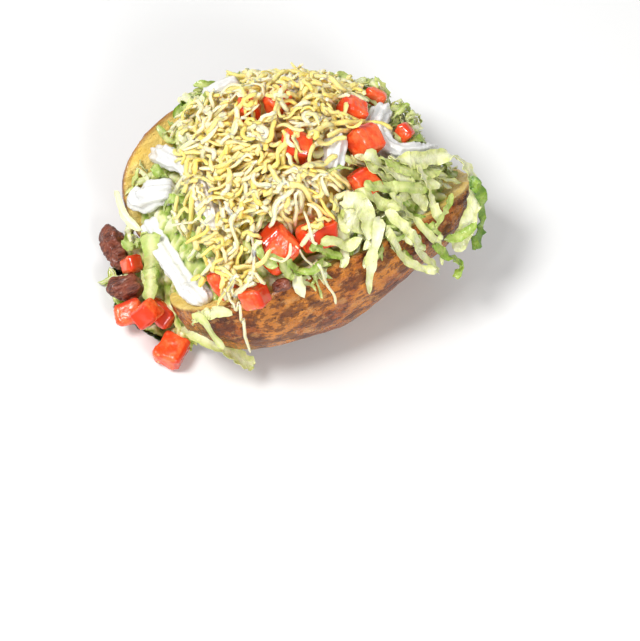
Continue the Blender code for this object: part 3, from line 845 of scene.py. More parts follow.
@dataclass
class Potato:
    """Potato cut lengthwise and pressed open: two halves on one base.

    An end is given as where its wrinkles start, how far on they are at their deepest, and how deep.
    """

    near: Half = Half(-1, math.radians(46.7), 36 * MM, 68 * MM, 69 * MM, 0.0)
    far: Half = Half(1, math.radians(57.2), 30 * MM, 63 * MM, 62 * MM, 0.29)
    base: tuple[float, float, float] = (50 * MM, 24 * MM, 9.5 * MM)
    base_z: float = 9 * MM
    voxel: float = 0.75 * MM
    lump: float = 0.7 * MM
    stations: int = 130
    skin_steps: int = 64
    face_steps: int = 20
    base_stations: int = 40
    base_steps: int = 48
    right_end: tuple[float, float, float] = (34 * MM, 26 * MM, 0.9)
    left_end: tuple[float, float, float] = (52 * MM, 12 * MM, 0.4)
    foot: float = 2 * MM
    cut_edge: tuple[float, float] = (0.25 * MM, 0.9 * MM)
    rim_band: tuple[float, float] = (0.3 * MM, 2.2 * MM)

    def half_rings(self, half: Half) -> np.ndarray:
        """Rings of one half: over the skin from rim to foot, and back up the cut face.

        Args:
            half: The half.

        Returns:
            Points by station and by step round the ring.
        """
        t = np.sin(0.485 * math.pi * np.linspace(-1, 1, self.stations))[:, None]
        scale, tall, middle = half.scale(t), half.height(t), half.middle(t)
        thick = half.thick * (1 - half.taper * ease(t / 0.5))
        turn = math.pi * np.linspace(0, 1, self.skin_steps + 1)[None]
        lump = self.lump * scale * np.sin(turn) * (np.sin(9 * t + 2 * turn) + np.sin(5 * turn - 7 * t))
        skin = half.place(t + 0 * turn, middle + tall * scale * np.cos(turn),
                          (thick * scale + lump) * np.sin(turn))
        back = math.pi * np.linspace(0, 1, self.face_steps + 1)[None, 1:-1]
        face = half.place(t + 0 * back, middle - tall * scale * np.cos(back), 0 * back + 0 * t)
        return np.concatenate([skin, face], 1)

    def base_rings(self) -> np.ndarray:
        """Rings of the ellipsoid that joins the halves under the hinge.

        Returns:
            Points by station and by step round the ring.
        """
        along = math.pi * np.linspace(0.02, 0.98, self.base_stations)[:, None]
        around = 2 * math.pi * np.linspace(0, 1, self.base_steps, endpoint=False)[None]
        x, y, z = self.base
        return np.stack([x * np.cos(along) + 0 * around, y * np.sin(along) * np.cos(around),
                         self.base_z + z * np.sin(along) * np.sin(around)], -1)

    def build(self, mat: bpy.types.Material) -> bpy.types.Object:
        """Make the potato, with values for its cut faces, its rim and its wrinkled ends.

        Args:
            mat: Skin and flesh material.

        Returns:
            The finished piece.
        """
        store = MeshStore()
        for rings in (self.half_rings(self.near), self.half_rings(self.far), self.base_rings()):
            store.loft(rings)
        rough = store.build("rough_potato")
        mesh = remeshed(rough, self.voxel, 3)
        bpy.data.objects.remove(rough, do_unlink=True)
        points, normals = points_of(mesh), normals_of(mesh)
        cut, rim = self.cut_values(points)
        end = ease((points[:, 0] - self.right_end[0]) / self.right_end[1]) * self.right_end[2]
        end += ease((-points[:, 0] - self.left_end[0]) / self.left_end[1]) * self.left_end[2]
        points = points + normals * self.relief(points, cut, end)[:, None]
        points[:, 2] = np.maximum(points[:, 2], 0.0)
        reshape(mesh, points)
        finished = MeshStore()
        finished.add_mesh(mesh, cut=cut, rim=rim, end=end)
        potato = finished.build("potato_flesh_and_skin")
        dress(potato, mat, Slot.SKIN, "potato")
        return potato

    def cut_values(self, points: np.ndarray) -> tuple[np.ndarray, np.ndarray]:
        """How much each point belongs to a cut face, and how near it is to the rim.

        Args:
            points: Points of the potato, one a row.

        Returns:
            Both values for each point, from 0 to 1.
        """
        cut, rim = np.zeros(len(points)), np.zeros(len(points))
        for half in (self.near, self.far):
            t, along, out = half.local(points)
            t = np.clip(t, -0.995, 0.995)
            own = (np.sign(points[:, 1]) == half.side) & (along > self.foot)
            cut += own * (1 - ease((out - self.cut_edge[0]) / self.cut_edge[1]))
            rim += own * (1 - ease((half.rim(t) - along - self.rim_band[0]) / self.rim_band[1]))
        return cut, rim

    def relief(self, points: np.ndarray, cut: np.ndarray, end: np.ndarray) -> np.ndarray:
        """Distance that each point moves out: lumps and wrinkles on the skin, crumbly flesh.

        Args:
            points: Points of the potato, one a row.
            cut: How much each belongs to a cut face.
            end: How near each is to a wrinkled end.

        Returns:
            The distances.
        """
        skin = 0.55 * MM * fractal(points, (15 * MM,) * 3, 1)
        skin += 0.22 * MM * fractal(points, (6 * MM, 3 * MM, 3 * MM), 2)
        skin += 0.55 * MM * end * fractal(points, (14 * MM, 2.6 * MM, 2.6 * MM), 3)
        flesh = 0.55 * MM * fractal(points, (8 * MM,) * 3, 4) + 0.2 * MM * fractal(points, (2 * MM,) * 3, 5)
        return skin * (1 - cut) + flesh * cut


# ---------------------------------------------------------------- laying pieces on the heap


@dataclass
class HeightField:
    """Heights of what lies on the part, seen from above, on which pieces are laid."""

    low: tuple[float, float]
    step: float
    heights: np.ndarray

    @classmethod
    def over(cls, objects: Sequence[bpy.types.Object], low: tuple[float, float], high: tuple[float, float],
             step: float) -> HeightField:
        """Field over some objects, 0 where there is none.

        Args:
            objects: What the field is measured on.
            low: Its lowest X and Y.
            high: Its highest X and Y.
            step: Size of its cells.

        Returns:
            The field.
        """
        tree = tree_of(objects)
        shape = [round((b - a) / step) for a, b in zip(low, high)]
        heights = np.zeros(shape)
        for i in range(shape[0]):
            for j in range(shape[1]):
                hit = tree.ray_cast(Vector((low[0] + i * step, low[1] + j * step, FAR_ABOVE)), DOWN)[0]
                heights[i, j] = hit.z if hit else 0.0
        return cls(low, step, heights)

    def cells(self, xy: np.ndarray) -> tuple[np.ndarray, np.ndarray]:
        """Cells that some places lie in.

        Args:
            xy: X and Y of the places.

        Returns:
            Their rows and columns.
        """
        i, j = (np.clip(np.round((xy[..., k] - self.low[k]) / self.step).astype(int), 0, most - 1)
                for k, most in enumerate(self.heights.shape))
        return i, j

    def place(self, i: int, j: int) -> tuple[float, float]:
        """X and Y of a cell."""
        return self.low[0] + i * self.step, self.low[1] + j * self.step

    def mask(self, test: Callable[[float, float], bool]) -> np.ndarray:
        """Cells whose place passes a test."""
        passed = [test(*self.place(i, j)) for i, j in np.ndindex(self.heights.shape)]
        return np.array(passed).reshape(self.heights.shape)

    def at(self, xy: np.ndarray) -> np.ndarray:
        """Heights at some places."""
        return self.heights[self.cells(xy)]

    def cover(self, xy: np.ndarray, z: np.ndarray) -> None:
        """Raise the field to the top of a piece that was laid."""
        i, j = self.cells(xy)
        np.maximum.at(self.heights, (i, j), z)


def resting(heights: np.ndarray, spacing: float, bend: float) -> np.ndarray:
    """Heights of a springy line that lies on others and bends no more sharply than it can.

    Args:
        heights: Heights under the line.
        spacing: Distance between its points.
        bend: Fall of the line at a metre from where it rests, for each metre.

    Returns:
        Heights of the line.
    """
    steps = np.arange(len(heights))
    level = np.polyval(np.polyfit(steps, heights, 1), steps)
    fall = bend * ((steps[:, None] - steps[None]) * spacing) ** 2
    return level + ((heights - level)[None] - fall).max(1)


def calm(values: np.ndarray, reach: int) -> np.ndarray:
    """Values along a line, smoothed over some neighbours.

    Args:
        values: Numbers along the line.
        reach: Number of neighbours on each side.

    Returns:
        The smoothed numbers.
    """
    kernel = np.hanning(2 * reach + 3)[1:-1]
    return np.convolve(np.pad(values, reach, mode="edge"), kernel / kernel.sum(), mode="valid")


def one_of(rng: random.Random, spans: Sequence[Span]) -> float:
    """Number from one of some ranges: each gives a number, and one of these is taken."""
    return rng.choice([rng.uniform(*span) for span in spans])


def tone_about(rng: random.Random, mean: float, spread: float, most: float) -> float:
    """Tone drawn about a mean, from 0 to the most."""
    return min(most, max(0.0, rng.gauss(mean, spread)))


def random_course(rng: random.Random, x: float, y: float, heading: float, length: float, bend: float,
                  wave: float, spacing: float) -> np.ndarray:
    """Curved course of a strand, seen from above.

    Args:
        rng: Source of chance.
        x: Place of its middle along X.
        y: Place of its middle along Y.
        heading: Direction of its middle.
        length: Its length.
        bend: Angle that it turns through in all.
        wave: Angle by which it wavers.
        spacing: Distance between its points.

    Returns:
        Its points, one a row.
    """
    count = max(6, round(length / spacing))
    s = np.linspace(-0.5, 0.5, count)
    waver = wave * np.sin(2 * math.pi * s * rng.uniform(0.8, 1.6) + rng.uniform(0, 6.3))
    angle = heading + bend * s + waver
    steps = np.stack([np.cos(angle), np.sin(angle)], 1) * spacing
    points = np.cumsum(steps, 0)
    return points - points[count // 2] + (x, y)


# ---------------------------------------------------------------- lettuce


@dataclass(frozen=True)
class Strip:
    """How one strip of lettuce is cut.

    Its tone goes from white at 0 to deep green at 1, its rib is how much of a thick white rib it
    has, and its ruffle is how wavy its edges are, in mm.
    """

    width: float
    tone: float
    rib: float
    ruffle: float


@dataclass(frozen=True)
class Leaf:
    """One strip of lettuce with a course that is known: places in mm, and a height where it is held up.

    A strip that hangs beside the potato keeps its given heights, whatever is above it.
    """

    width: float
    tone: float
    rib: float
    places: tuple[tuple[float, ...], ...]
    ruffle: float = 0.8
    hangs: bool = False


NAMED_LEAVES = (
    Leaf(6.0, 0.25, 0.3, ((18, -20), (18, -28), (25, -31), (31, -35))),
    Leaf(7.0, 0.16, 0.4, ((19, -20), (23, -26), (29, -31), (34, -37), (38, -40))),
    Leaf(6.0, 0.40, 0.2, ((24, -23), (31, -29), (41, -31), (54, -27))),
    Leaf(6.5, 0.30, 0.2, ((5, -33), (11, -34), (17, -37), (24, -41))),
    Leaf(6.0, 0.45, 0.2, ((11, -33), (23, -34), (31, -36), (39, -36))),
    Leaf(7.5, 0.12, 0.4, ((0, -36), (3, -41), (8, -45), (13, -46))),
    Leaf(8.5, 0.16, 0.3, ((2, -33), (7, -37), (7, -43), (4, -47))),
    Leaf(8.5, 0.20, 0.8, ((28, -24), (38, -26), (50, -25, 62), (59, -28, 58), (62, -34, 54), (61, -41, 50),
                           (56, -47, 46), (50, -52, 42), (44, -55, 37))),
    Leaf(5.0, 0.16, 0.1, ((16, -42), (20, -48), (24, -54, 52), (30, -58, 43), (33, -60, 36))),
    Leaf(4.5, 0.20, 0.1, ((13, -47), (16, -53, 53), (23, -58, 46), (31, -61, 38))),
    Leaf(4.5, 0.22, 0.3, ((20, -38), (26, -43), (31, -49), (36, -54, 46), (37, -58, 38))),
    Leaf(5.5, 0.10, 0.1, ((13, -43), (8, -49), (3, -54, 52), (0, -58, 44)), 0.4),
    Leaf(4.5, 0.14, 0.2, ((38, -29), (40, -36), (40, -42), (38, -49, 54))),
    Leaf(3.0, 0.50, 0.0, ((36, -50, 55), (43, -46, 57), (50, -41, 56))),
    Leaf(6.0, 0.78, 0.0, ((60, -38, 50), (62, -45, 42), (58, -52, 38), (52, -57, 34)), 1.4),
    Leaf(5.5, 0.66, 0.0, ((33, -54, 44), (38, -58, 40), (43, -61, 36), (41, -64, 30)), 1.4),
    Leaf(4.5, 0.60, 0.0, ((40, -52, 46), (47, -54, 42), (55, -53, 38)), 1.2),
    Leaf(10.5, 0.42, 0.5, ((-62, 9), (-65, 4), (-68, -1), (-71, -7))),
    Leaf(5.0, 0.55, 0.2, ((-67, 25), (-66, 18), (-64, 11))),
    Leaf(5.5, 0.15, 0.3, ((-66, -34), (-60, -39), (-54, -43))),
    Leaf(9.0, 0.26, 0.8, ((-66, -27, 22), (-64, -36, 29), (-60, -42, 25), (-54, -47, 18), (-48, -50, 10)),
         0.8, True),
    Leaf(4.0, 0.28, 0.3, ((-66, -34), (-64, -40, 33), (-59, -46, 28))),
    Leaf(4.5, 0.0, 1.0, ((-63, 38, 34), (-65, 31, 36), (-66, 24, 36), (-64, 15, 36)), 0.3),
    Leaf(4.5, 0.50, 0.2, ((-36, -31), (-37, -38), (-34, -43))),
    Leaf(4.5, 0.45, 0.2, ((-37, -40), (-33, -42), (-29, -47))),
    Leaf(4.0, 0.55, 0.1, ((-30, -43), (-26, -46), (-21, -49), (-15, -46))),
    Leaf(4.0, 0.60, 0.1, ((-19, -42), (-11, -45), (-6, -47))),
    Leaf(5.0, 0.25, 0.1, ((-14, -42), (-9, -43), (-3, -45), (3, -46))),
    Leaf(4.5, 0.60, 0.1, ((-48, 32), (-49, 27), (-48, 22))),
    Leaf(4.5, 0.62, 0.1, ((-54, 13), (-51, 9), (-47, 6))),
    Leaf(4.0, 0.60, 0.1, ((-18, 44), (-22, 37), (-26, 34))),
    Leaf(3.5, 0.60, 0.1, ((-50, 5), (-50, -2), (-48, -10))),
    Leaf(3.5, 0.55, 0.1, ((-52, -7), (-53, -16), (-50, -22))),
)


@dataclass(frozen=True)
class Limits:
    """Where loose strips may lie: below these heights, and off the cells of toppings and others."""

    highest: HeightField
    toppings: np.ndarray
    away: np.ndarray


@dataclass
class Lettuce:
    """Filling of cut lettuce: a core, strips all over it, and the strips whose course is known.

    Lengths and widths of strips, the mouth's area and the height of the core's folds are in mm. Tones
    are drawn by mean, spread and highest. The lowest ground of the mouth is a multiple of the lowest
    ground of the other strips.
    """

    strips: int = 420
    attempts: int = 14
    mouth_strips: int = 46
    thick: float = 0.32 * MM
    spacing: float = 1.3 * MM
    bend: float = 0.16 / MM
    held_bend: float = 0.4 / MM
    reach: float = 0.4
    named_width: float = 0.85
    above_ground: float = 0.4 * MM
    lengths: tuple[Span, ...] = ((6, 12), (10, 20), (16, 30))
    widths: tuple[Span, ...] = ((1.2, 2.2), (1.8, 3.4), (3.0, 5.2))
    tones: tuple[float, float, float] = (0.30, 0.20, 0.85)
    mouth_area: tuple[Span, Span] = ((38, 54), (-26, 26))
    mouth_end: float = 61
    mouth_reach: Span = (0.4, 0.85)
    mouth_widths: Span = (1.8, 4.5)
    mouth_tones: tuple[float, float, float] = (0.34, 0.20, 0.80)
    above_model: float = 3.0 * MM
    steepest: float = 3.2
    over_share: float = 0.30
    topping_share: float = 0.10
    away_share: float = 0.20
    core_voxel: float = 1.3 * MM
    fold_size: tuple[float, float, float] = (11 * MM, 4.5 * MM, 7 * MM)
    fold_height: float = 3.2
    sunk: float = 4.5 * MM
    lowest: float = 9 * MM
    mouth_lowest: float = 2.4
    floor_gap: float = 0.3 * MM
    spill: float = -55 * MM
    tip: float = 2.5 * MM
    tip_width: float = 0.35
    rib_width: float = 0.32
    rib_thick: float = 2.4
    cover_steps: tuple[float, ...] = (0.0, 0.33, 0.67)
    columns: tuple[float, ...] = (-1.0, -0.55, 0.0, 0.55, 1.0)
    store: MeshStore = field(default_factory=MeshStore)

    def core(self, node: bpy.types.Object) -> bpy.types.Object:
        """Rounded core, a little lower than the CAD node, under the strips; its deep green is painted
        shade.

        Args:
            node: The CAD filling.

        Returns:
            A temporary object of the core, for measuring.
        """
        mesh = remeshed(node, self.core_voxel, 4)
        points, normals = points_of(mesh), normals_of(mesh)
        folds = np.abs(fractal(points, self.fold_size, 8, 2))
        points = points + normals * ((self.fold_height * folds - 1.0) * MM)[:, None]
        points[:, 2] = np.maximum(points[:, 2] - self.sunk, 0.2 * MM)
        reshape(mesh, points)
        # Painted shade: deep green, darkest where the folds sink, so the gaps between strips look shadowed.
        tone = 0.80 - 1.3 * folds + 0.2 * fractal(points, (3 * MM,) * 3, 9)
        self.store.add_mesh(mesh, tone=tone, rib=0.0)
        core = bpy.data.objects.new("lettuce_core", mesh)
        bpy.context.scene.collection.objects.link(core)
        return core

    def fits(self, ground: HeightField, xy: np.ndarray, heights: np.ndarray, limits: Limits) -> bool:
        """Whether a loose strip may lie along a course.

        Args:
            ground: What it lies on.
            xy: Points of its course.
            heights: Its heights there.
            limits: Where it may lie.

        Returns:
            False where it would lie on the floor, too high, over toppings, far off or too steep.
        """
        cells = ground.cells(xy)
        low = (ground.at(xy) < self.lowest)[xy[:, 0] > self.spill].any()
        over = heights + self.thick > limits.highest.at(xy) + self.above_model
        steep = np.abs(np.diff(heights)).max() > self.steepest * self.spacing
        return not (low or steep or over.mean() > self.over_share
                    or limits.toppings[cells].mean() > self.topping_share
                    or limits.away[cells].mean() > self.away_share)

    def lay(self, ground: HeightField, course: np.ndarray, strip: Strip, rng: random.Random,
            limits: Limits | None = None, hangs: bool = False) -> bool:
        """Lay one strip over the ground along a course.

        Args:
            ground: What it lies on, raised by it.
            course: Its points, evenly spaced, with the height that each is held at if they have one.
            strip: How it is cut.
            rng: Source of chance.
            limits: Where it may lie, or None if it lies there in any case.
            hangs: Whether it keeps the heights of its course, whatever is under it.

        Returns:
            Whether it was laid.
        """
        xy, width = course[:, :2], strip.width
        side = sideways(course)
        known = course.shape[1] > 2
        bend = self.held_bend if known else self.bend
        left, centre, right = (resting(ground.at(xy + side * width * a), self.spacing, bend)
                               for a in (-self.reach, 0.0, self.reach))
        centre = np.maximum(centre, (left + right) / 2)
        if known:
            centre = course[:, 2] if hangs else np.maximum(centre, course[:, 2])
        centre = calm(centre, 3)
        tilt = calm(np.clip((right - left) / (2 * self.reach * width), -1.0, 1.0), 4) * (not hangs)
        if limits is not None and not self.fits(ground, xy, centre, limits):
            return False
        line, level = np.column_stack([xy, centre]), np.column_stack([side, tilt])
        upper = self.add_strip(line, level, strip, known, rng)
        fine = np.linspace(-1, 1, 2 + round(width / ground.step))
        weights = np.array([np.interp(fine, self.columns, row) for row in np.eye(len(self.columns))])
        rows = np.einsum("ijk,jm->imk", upper, weights)
        for share in self.cover_steps:
            between = rows[:-1] * (1 - share) + rows[1:] * share
            ground.cover(between[..., :2], between[..., 2])
        return True

    def add_strip(self, line: np.ndarray, level: np.ndarray, strip: Strip, known: bool,
                  rng: random.Random) -> np.ndarray:
        """Add the mesh of one strip, twisted along its line and ruffled at its edges.

        Args:
            line: Points along its middle.
            level: Directions across it, not yet of length 1.
            strip: How it is cut.
            known: Whether its course is known, so that it is rolled up less.
            rng: Source of chance.

        Returns:
            Points of its upper side, as stations by columns by 3.
        """
        s = np.linspace(0, 1, len(line))
        across = np.array(self.columns)
        run = s * len(line) * self.spacing
        uneven = 1 + 0.12 * np.sin(run / (2.9 * MM) + rng.uniform(0, 6)) + 0.06 * np.sin(run / (1.3 * MM))
        blunt = np.clip(np.minimum(run, run[-1] - run) / self.tip, 0.0, 1.0) ** 0.7
        span = strip.width / 2 * (self.tip_width + (1 - self.tip_width) * blunt) * uneven
        roll = 0.25 if known else rng.uniform(0.1, 0.9)
        roll = roll * np.sin(run / (rng.uniform(4, 9) * MM) + rng.uniform(0, 6))
        line = np.column_stack([line[:, :2], line[:, 2] + 0.8 * span * np.abs(np.sin(roll))])
        ahead = directions(line)
        level = level / np.linalg.norm(level, axis=1)[:, None]
        up = np.cross(level, ahead)
        phase, pace = rng.uniform(0, 6.3), rng.uniform(4.0, 7.0) * MM
        wave = np.sin(2 * math.pi * run / pace + phase)[:, None] * np.sign(across) * np.abs(across) ** 1.3
        crease = 0.35 * np.sin(2 * math.pi * run[:, None] / (3.1 * MM) + 2.2 * across + phase)
        bow = strip.ruffle * MM * (0.7 * wave + crease + 0.5)
        bow = bow + rng.uniform(-0.05, 0.20) * strip.width * across ** 2
        a = span[:, None] * across
        cos, sin = np.cos(roll)[:, None], np.sin(roll)[:, None]
        slant = rng.uniform(-0.9, 0.9) * (np.abs(2 * s - 1) ** 8)[:, None] * a
        under = (line[:, None] + level[:, None] * (a * cos - bow * sin)[..., None]
                 + up[:, None] * (a * sin + bow * cos)[..., None] + ahead[:, None] * slant[..., None])
        out = up[:, None] * cos[..., None] - level[:, None] * sin[..., None]
        ridge = strip.rib * np.exp(-(across / self.rib_width) ** 2)
        upper = under + out * (self.thick * (1 + self.rib_thick * ridge))[None, :, None]
        under[..., 2] = np.maximum(under[..., 2], self.floor_gap)
        upper[..., 2] = np.maximum(upper[..., 2], self.floor_gap + self.thick)
        # Painted shade: strips darker green towards their edges, a stand-in for light through the thin
        # leaf.
        shade = strip.tone + 0.12 * np.abs(across) - 0.1 * (1 - np.abs(across)) * strip.rib
        shade, ribs = (np.tile(np.concatenate([row, row[::-1]]), (len(line), 1)) for row in (shade, ridge))
        self.store.loft(np.concatenate([upper, under[:, ::-1]], 1), tone=shade, rib=ribs)
        return upper

    def cover(self, ground: HeightField, limits: Limits, room: np.ndarray, rng: random.Random) -> None:
        """Lay strips at random wherever the filling shows, and then the known ones.

        Args:
            ground: What they lie on, raised by them.
            limits: Where the loose ones may lie.
            room: Cells where strips may start.
            rng: Source of chance.
        """
        starts = np.argwhere(room)
        laid = 0
        for _ in range(self.strips * self.attempts):
            if laid >= self.strips:
                break
            i, j = starts[rng.randrange(len(starts))]
            x, y = ground.place(i, j)
            length = one_of(rng, self.lengths) * MM
            course = random_course(rng, x, y, rng.uniform(0, 2 * math.pi), length,
                                   rng.uniform(-1.6, 1.6), rng.uniform(0, 0.5), self.spacing)
            tone = tone_about(rng, *self.tones)
            width = one_of(rng, self.widths) * MM
            strip = Strip(width, tone, rng.choice((0, 0, 0.3, 0.8)), rng.uniform(0.3, 1.0))
            laid += self.lay(ground, course, strip, rng, limits)
        LOG.info("lettuce: %d loose strips", laid)
        self.line_mouth(ground, limits.toppings, rng)
        for leaf in NAMED_LEAVES:
            flat = np.array([p[:2] for p in leaf.places]) * MM
            lying = ground.at(flat) + self.above_ground
            held = [p[2] * MM if len(p) == 3 else z for p, z in zip(leaf.places, lying)]
            course = smooth_curve(np.column_stack([flat, held]), self.spacing)
            strip = Strip(self.named_width * leaf.width * MM, leaf.tone, leaf.rib, leaf.ruffle)
            self.lay(ground, course, strip, rng, hangs=leaf.hangs)

    def line_mouth(self, ground: HeightField, toppings: np.ndarray, rng: random.Random) -> None:
        """Lay strips down the steep filling at the open right end.

        Args:
            ground: What they lie on, raised by them.
            toppings: Cells of the toppings, which the strips keep off.
            rng: Source of chance.
        """
        for _ in range(self.mouth_strips):
            x, y = (rng.uniform(*span) for span in self.mouth_area)
            turn = rng.uniform(-0.5, 0.5)
            reach = rng.uniform(*self.mouth_reach) * (self.mouth_end - x)
            shares = (0, 0.3, 0.55, 0.8, 1)
            flat = np.array([(x + d * reach, y * (1 - 0.3 * d) + turn * d * reach) for d in shares]) * MM
            held = ground.at(flat) + self.above_ground
            course = smooth_curve(np.column_stack([flat, held]), self.spacing)
            free = toppings[ground.cells(course)].mean() < self.topping_share
            if free and ground.at(course).min() > self.mouth_lowest * self.lowest:
                width = rng.uniform(*self.mouth_widths) * MM
                tone = tone_about(rng, *self.mouth_tones)
                strip = Strip(width, tone, rng.choice((0, 0.4)), rng.uniform(0.4, 1.0))
                self.lay(ground, course, strip, rng)

    def finish(self, mat: bpy.types.Material) -> bpy.types.Object:
        """Make the one piece of all the lettuce.

        Args:
            mat: Lettuce material.

        Returns:
            The finished piece.
        """
        piece = self.store.build("lettuce_strips", math.radians(55))
        dress(piece, mat, Slot.LETTUCE, "lettuce")
        return piece


# ---------------------------------------------------------------- cheese


CHEESE_OUTLINE = (
    (-31, 47), (-22, 43), (-8, 42), (2, 49), (10, 52), (22, 49), (34, 45), (43, 36), (45, 26), (41, 15),
    (32, 8), (29, 0), (31, -10), (20, -9), (8, -12), (3, -13), (9, -24), (10, -31), (3, -34), (-8, -38),
    (-16, -37), (-20, -30), (-31, -25), (-36, -28), (-43, -42), (-49, -44), (-54, -42), (-57, -26),
    (-60, -17), (-57, 2), (-53, 9), (-46, 12), (-40, 24), (-37, 36),
)


def inside_outline(x: float, y: float, outline: Sequence[tuple[float, float]]) -> bool:
    """Whether a place lies inside an outline.

    Args:
        x: Place along X.
        y: Place along Y.
        outline: Corners of the outline in order.

    Returns:
        True inside it.
    """
    crossings = 0
    for (x1, y1), (x2, y2) in zip(outline, (*outline[1:], outline[0])):
        if (y1 > y) != (y2 > y) and x < x1 + (y - y1) / (y2 - y1) * (x2 - x1):
            crossings += 1
    return crossings % 2 == 1


STRINGS = (
    ((-24, -40, 64), (-20, -44, 63), (-17, -51, 56), (-14, -55, 49), (-14, -57, 44)),
    ((-55, -38, 57), (-53, -44, 50), (-52, -49, 42), (-51, -51, 34), (-50, -52, 27)),
    ((-53, -38, 58), (-52, -43, 52), (-50, -45, 51), (-48, -45, 51)),
    ((-14, -29, 75), (-16, -36, 77), (-17, -41, 73), (-16, -43, 64)),
    ((-36, -41, 72), (-32, -43, 71), (-28, -42, 72), (-26, -39, 75)),
    ((-57, 3, 52), (-52, -3, 58), (-49, -11, 63), (-46, -16, 65)),
    ((-36, -25, 72), (-38, -31, 70), (-41, -37, 68), (-46, -44, 69)),
)


@dataclass
class Cheese:
    """Heap of grated cheese: a low core under many curved shreds in loose clumps.

    Lengths, widths and thicknesses of shreds, how far they arch or curl up, and the height of the
    core's folds are in mm.
    """

    shreds: int = 1300
    attempts: int = 16
    lengths: tuple[Span, ...] = ((6, 11), (10, 18), (14, 26))
    widths: Span = (1.7, 2.7)
    thicknesses: Span = (1.0, 1.5)
    yellow_tones: Span = (0.55, 1.0)
    white_tones: Span = (0.0, 0.25)
    spacing: float = 1.6 * MM
    bend: float = 0.12 / MM
    above_model: float = 3.2 * MM
    clump: float = 3.4 * MM
    clump_size: float = 9 * MM
    clump_level: float = 0.35
    over_share: float = 0.35
    topping_share: float = 0.10
    loose_share: float = 0.5
    loose_each: int = 9
    arch: float = 1.2
    curl: float = 2.6
    yellow_share: float = 0.66
    core_voxel: float = 1.4 * MM
    fold_size: tuple[float, float, float] = (6 * MM, 2.8 * MM, 4 * MM)
    fold_height: float = 3.0
    sunk: float = 6.5 * MM
    around: int = 5
    cover_steps: tuple[float, ...] = (0, 1 / 3, 2 / 3)
    cover_across: tuple[float, ...] = (-0.36, -0.12, 0.12, 0.36)
    cover_height: float = 0.55
    string_width: float = 1.5 * MM
    string_thick: float = 1.1 * MM
    string_tone: float = 0.12
    store: MeshStore = field(default_factory=MeshStore)

    def core(self, node: bpy.types.Object) -> bpy.types.Object:
        """Core, lower than the CAD node, that the shreds lie on; its deep yellow is painted shade.

        Args:
            node: The CAD layer of cheese.

        Returns:
            A temporary object of the core, for measuring.
        """
        mesh = remeshed(node, self.core_voxel, 5)
        points, normals = points_of(mesh), normals_of(mesh)
        folds = np.abs(fractal(points, self.fold_size, 14, 2))
        points = points + normals * ((self.fold_height * folds - 1.2) * MM)[:, None]
        points[:, 2] -= self.sunk
        reshape(mesh, points)
        # Painted shade: the core's tone is the deeper yellow, most where its folds sink, as shade between
        # shreds.
        self.store.add_mesh(mesh, tone=0.9 - folds)
        core = bpy.data.objects.new("cheese_core", mesh)
        bpy.context.scene.collection.objects.link(core)
        return core

    def add_shred(self, xy: np.ndarray, z: np.ndarray, width: float, thick: float, tone: float,
                  rng: random.Random) -> None:
        """Add the mesh of one shred.

        Args:
            xy: Points of its course.
            z: Heights of its underside.
            width: Its width.
            thick: Its thickness.
            tone: Its colour, from white at 0 to yellow at 1.
            rng: Source of chance.
        """
        middle = np.concatenate([xy, (z + thick / 2)[:, None]], 1)
        ahead = directions(middle)
        side = np.cross(ahead, (0, 0, 1))
        side /= np.maximum(1e-9, np.linalg.norm(side, axis=1))[:, None]
        up = np.cross(side, ahead)
        s = np.linspace(0, 1, len(xy))
        turn = 2 * math.pi * (np.arange(self.around) + 0.5) / self.around
        roll = rng.uniform(-0.7, 0.7) + rng.uniform(-0.8, 0.8) * s
        size = np.clip(np.minimum(s, 1 - s) * 8 + 0.62, 0, 1)
        size = size * (1 + 0.12 * np.sin(9 * s + rng.uniform(0, 6)))
        a = np.cos(turn)[None] * width / 2 * size[:, None]
        b = np.sin(turn)[None] * thick / 2 * size[:, None]
        cos, sin = np.cos(roll)[:, None], np.sin(roll)[:, None]
        rings = (middle[:, None] + side[:, None] * (a * cos - b * sin)[..., None]
                 + up[:, None] * (a * sin + b * cos)[..., None])
        self.store.loft(rings, tone=tone)

    def drop(self, ground: HeightField, xy: np.ndarray, width: float, thick: float, tone: float,
             rng: random.Random, limits: tuple[HeightField, np.ndarray], over: float) -> bool:
        """Lay one shred on the heap.

        Args:
            ground: What it lies on, raised by it.
            xy: Points of its course.
            width: Its width.
            thick: Its thickness.
            tone: Its colour.
            rng: Source of chance.
            limits: Highest heights and the cells of the toppings.
            over: Share of it that may lie over toppings.

        Returns:
            Whether it was laid.
        """
        side = sideways(xy) * width * 0.35
        under = np.maximum.reduce([ground.at(xy), ground.at(xy + side), ground.at(xy - side)])
        z = calm(resting(under, self.spacing, self.bend), 1)
        s = np.linspace(-1, 1, len(xy))
        lift = rng.choice((1, 1, 0)) * rng.uniform(0, self.arch) * MM * (1 - s * s)
        curl = rng.choice((1, 0, 0)) * rng.uniform(0, self.curl) * MM
        lift += curl * np.maximum(0, s * rng.choice((-1, 1))) ** 2
        highest, toppings = limits
        clump = max(0.0, self.clump_level + noise.noise(Vector((*xy[len(xy) // 2], 0.0)) / self.clump_size))
        if (z + thick > highest.at(xy) + self.above_model + self.clump * clump).mean() > self.over_share:
            return False
        if toppings[ground.cells(xy)].mean() > over:
            return False
        self.add_shred(xy, z + lift, width, thick, tone, rng)
        across = sideways(xy)
        for share in self.cover_steps:
            mid = xy[:-1] + (xy[1:] - xy[:-1]) * share
            top = z[:-1] + (z[1:] - z[:-1]) * share + thick * self.cover_height
            for a in self.cover_across:
                ground.cover(mid + across[:-1] * width * a, top)
        return True

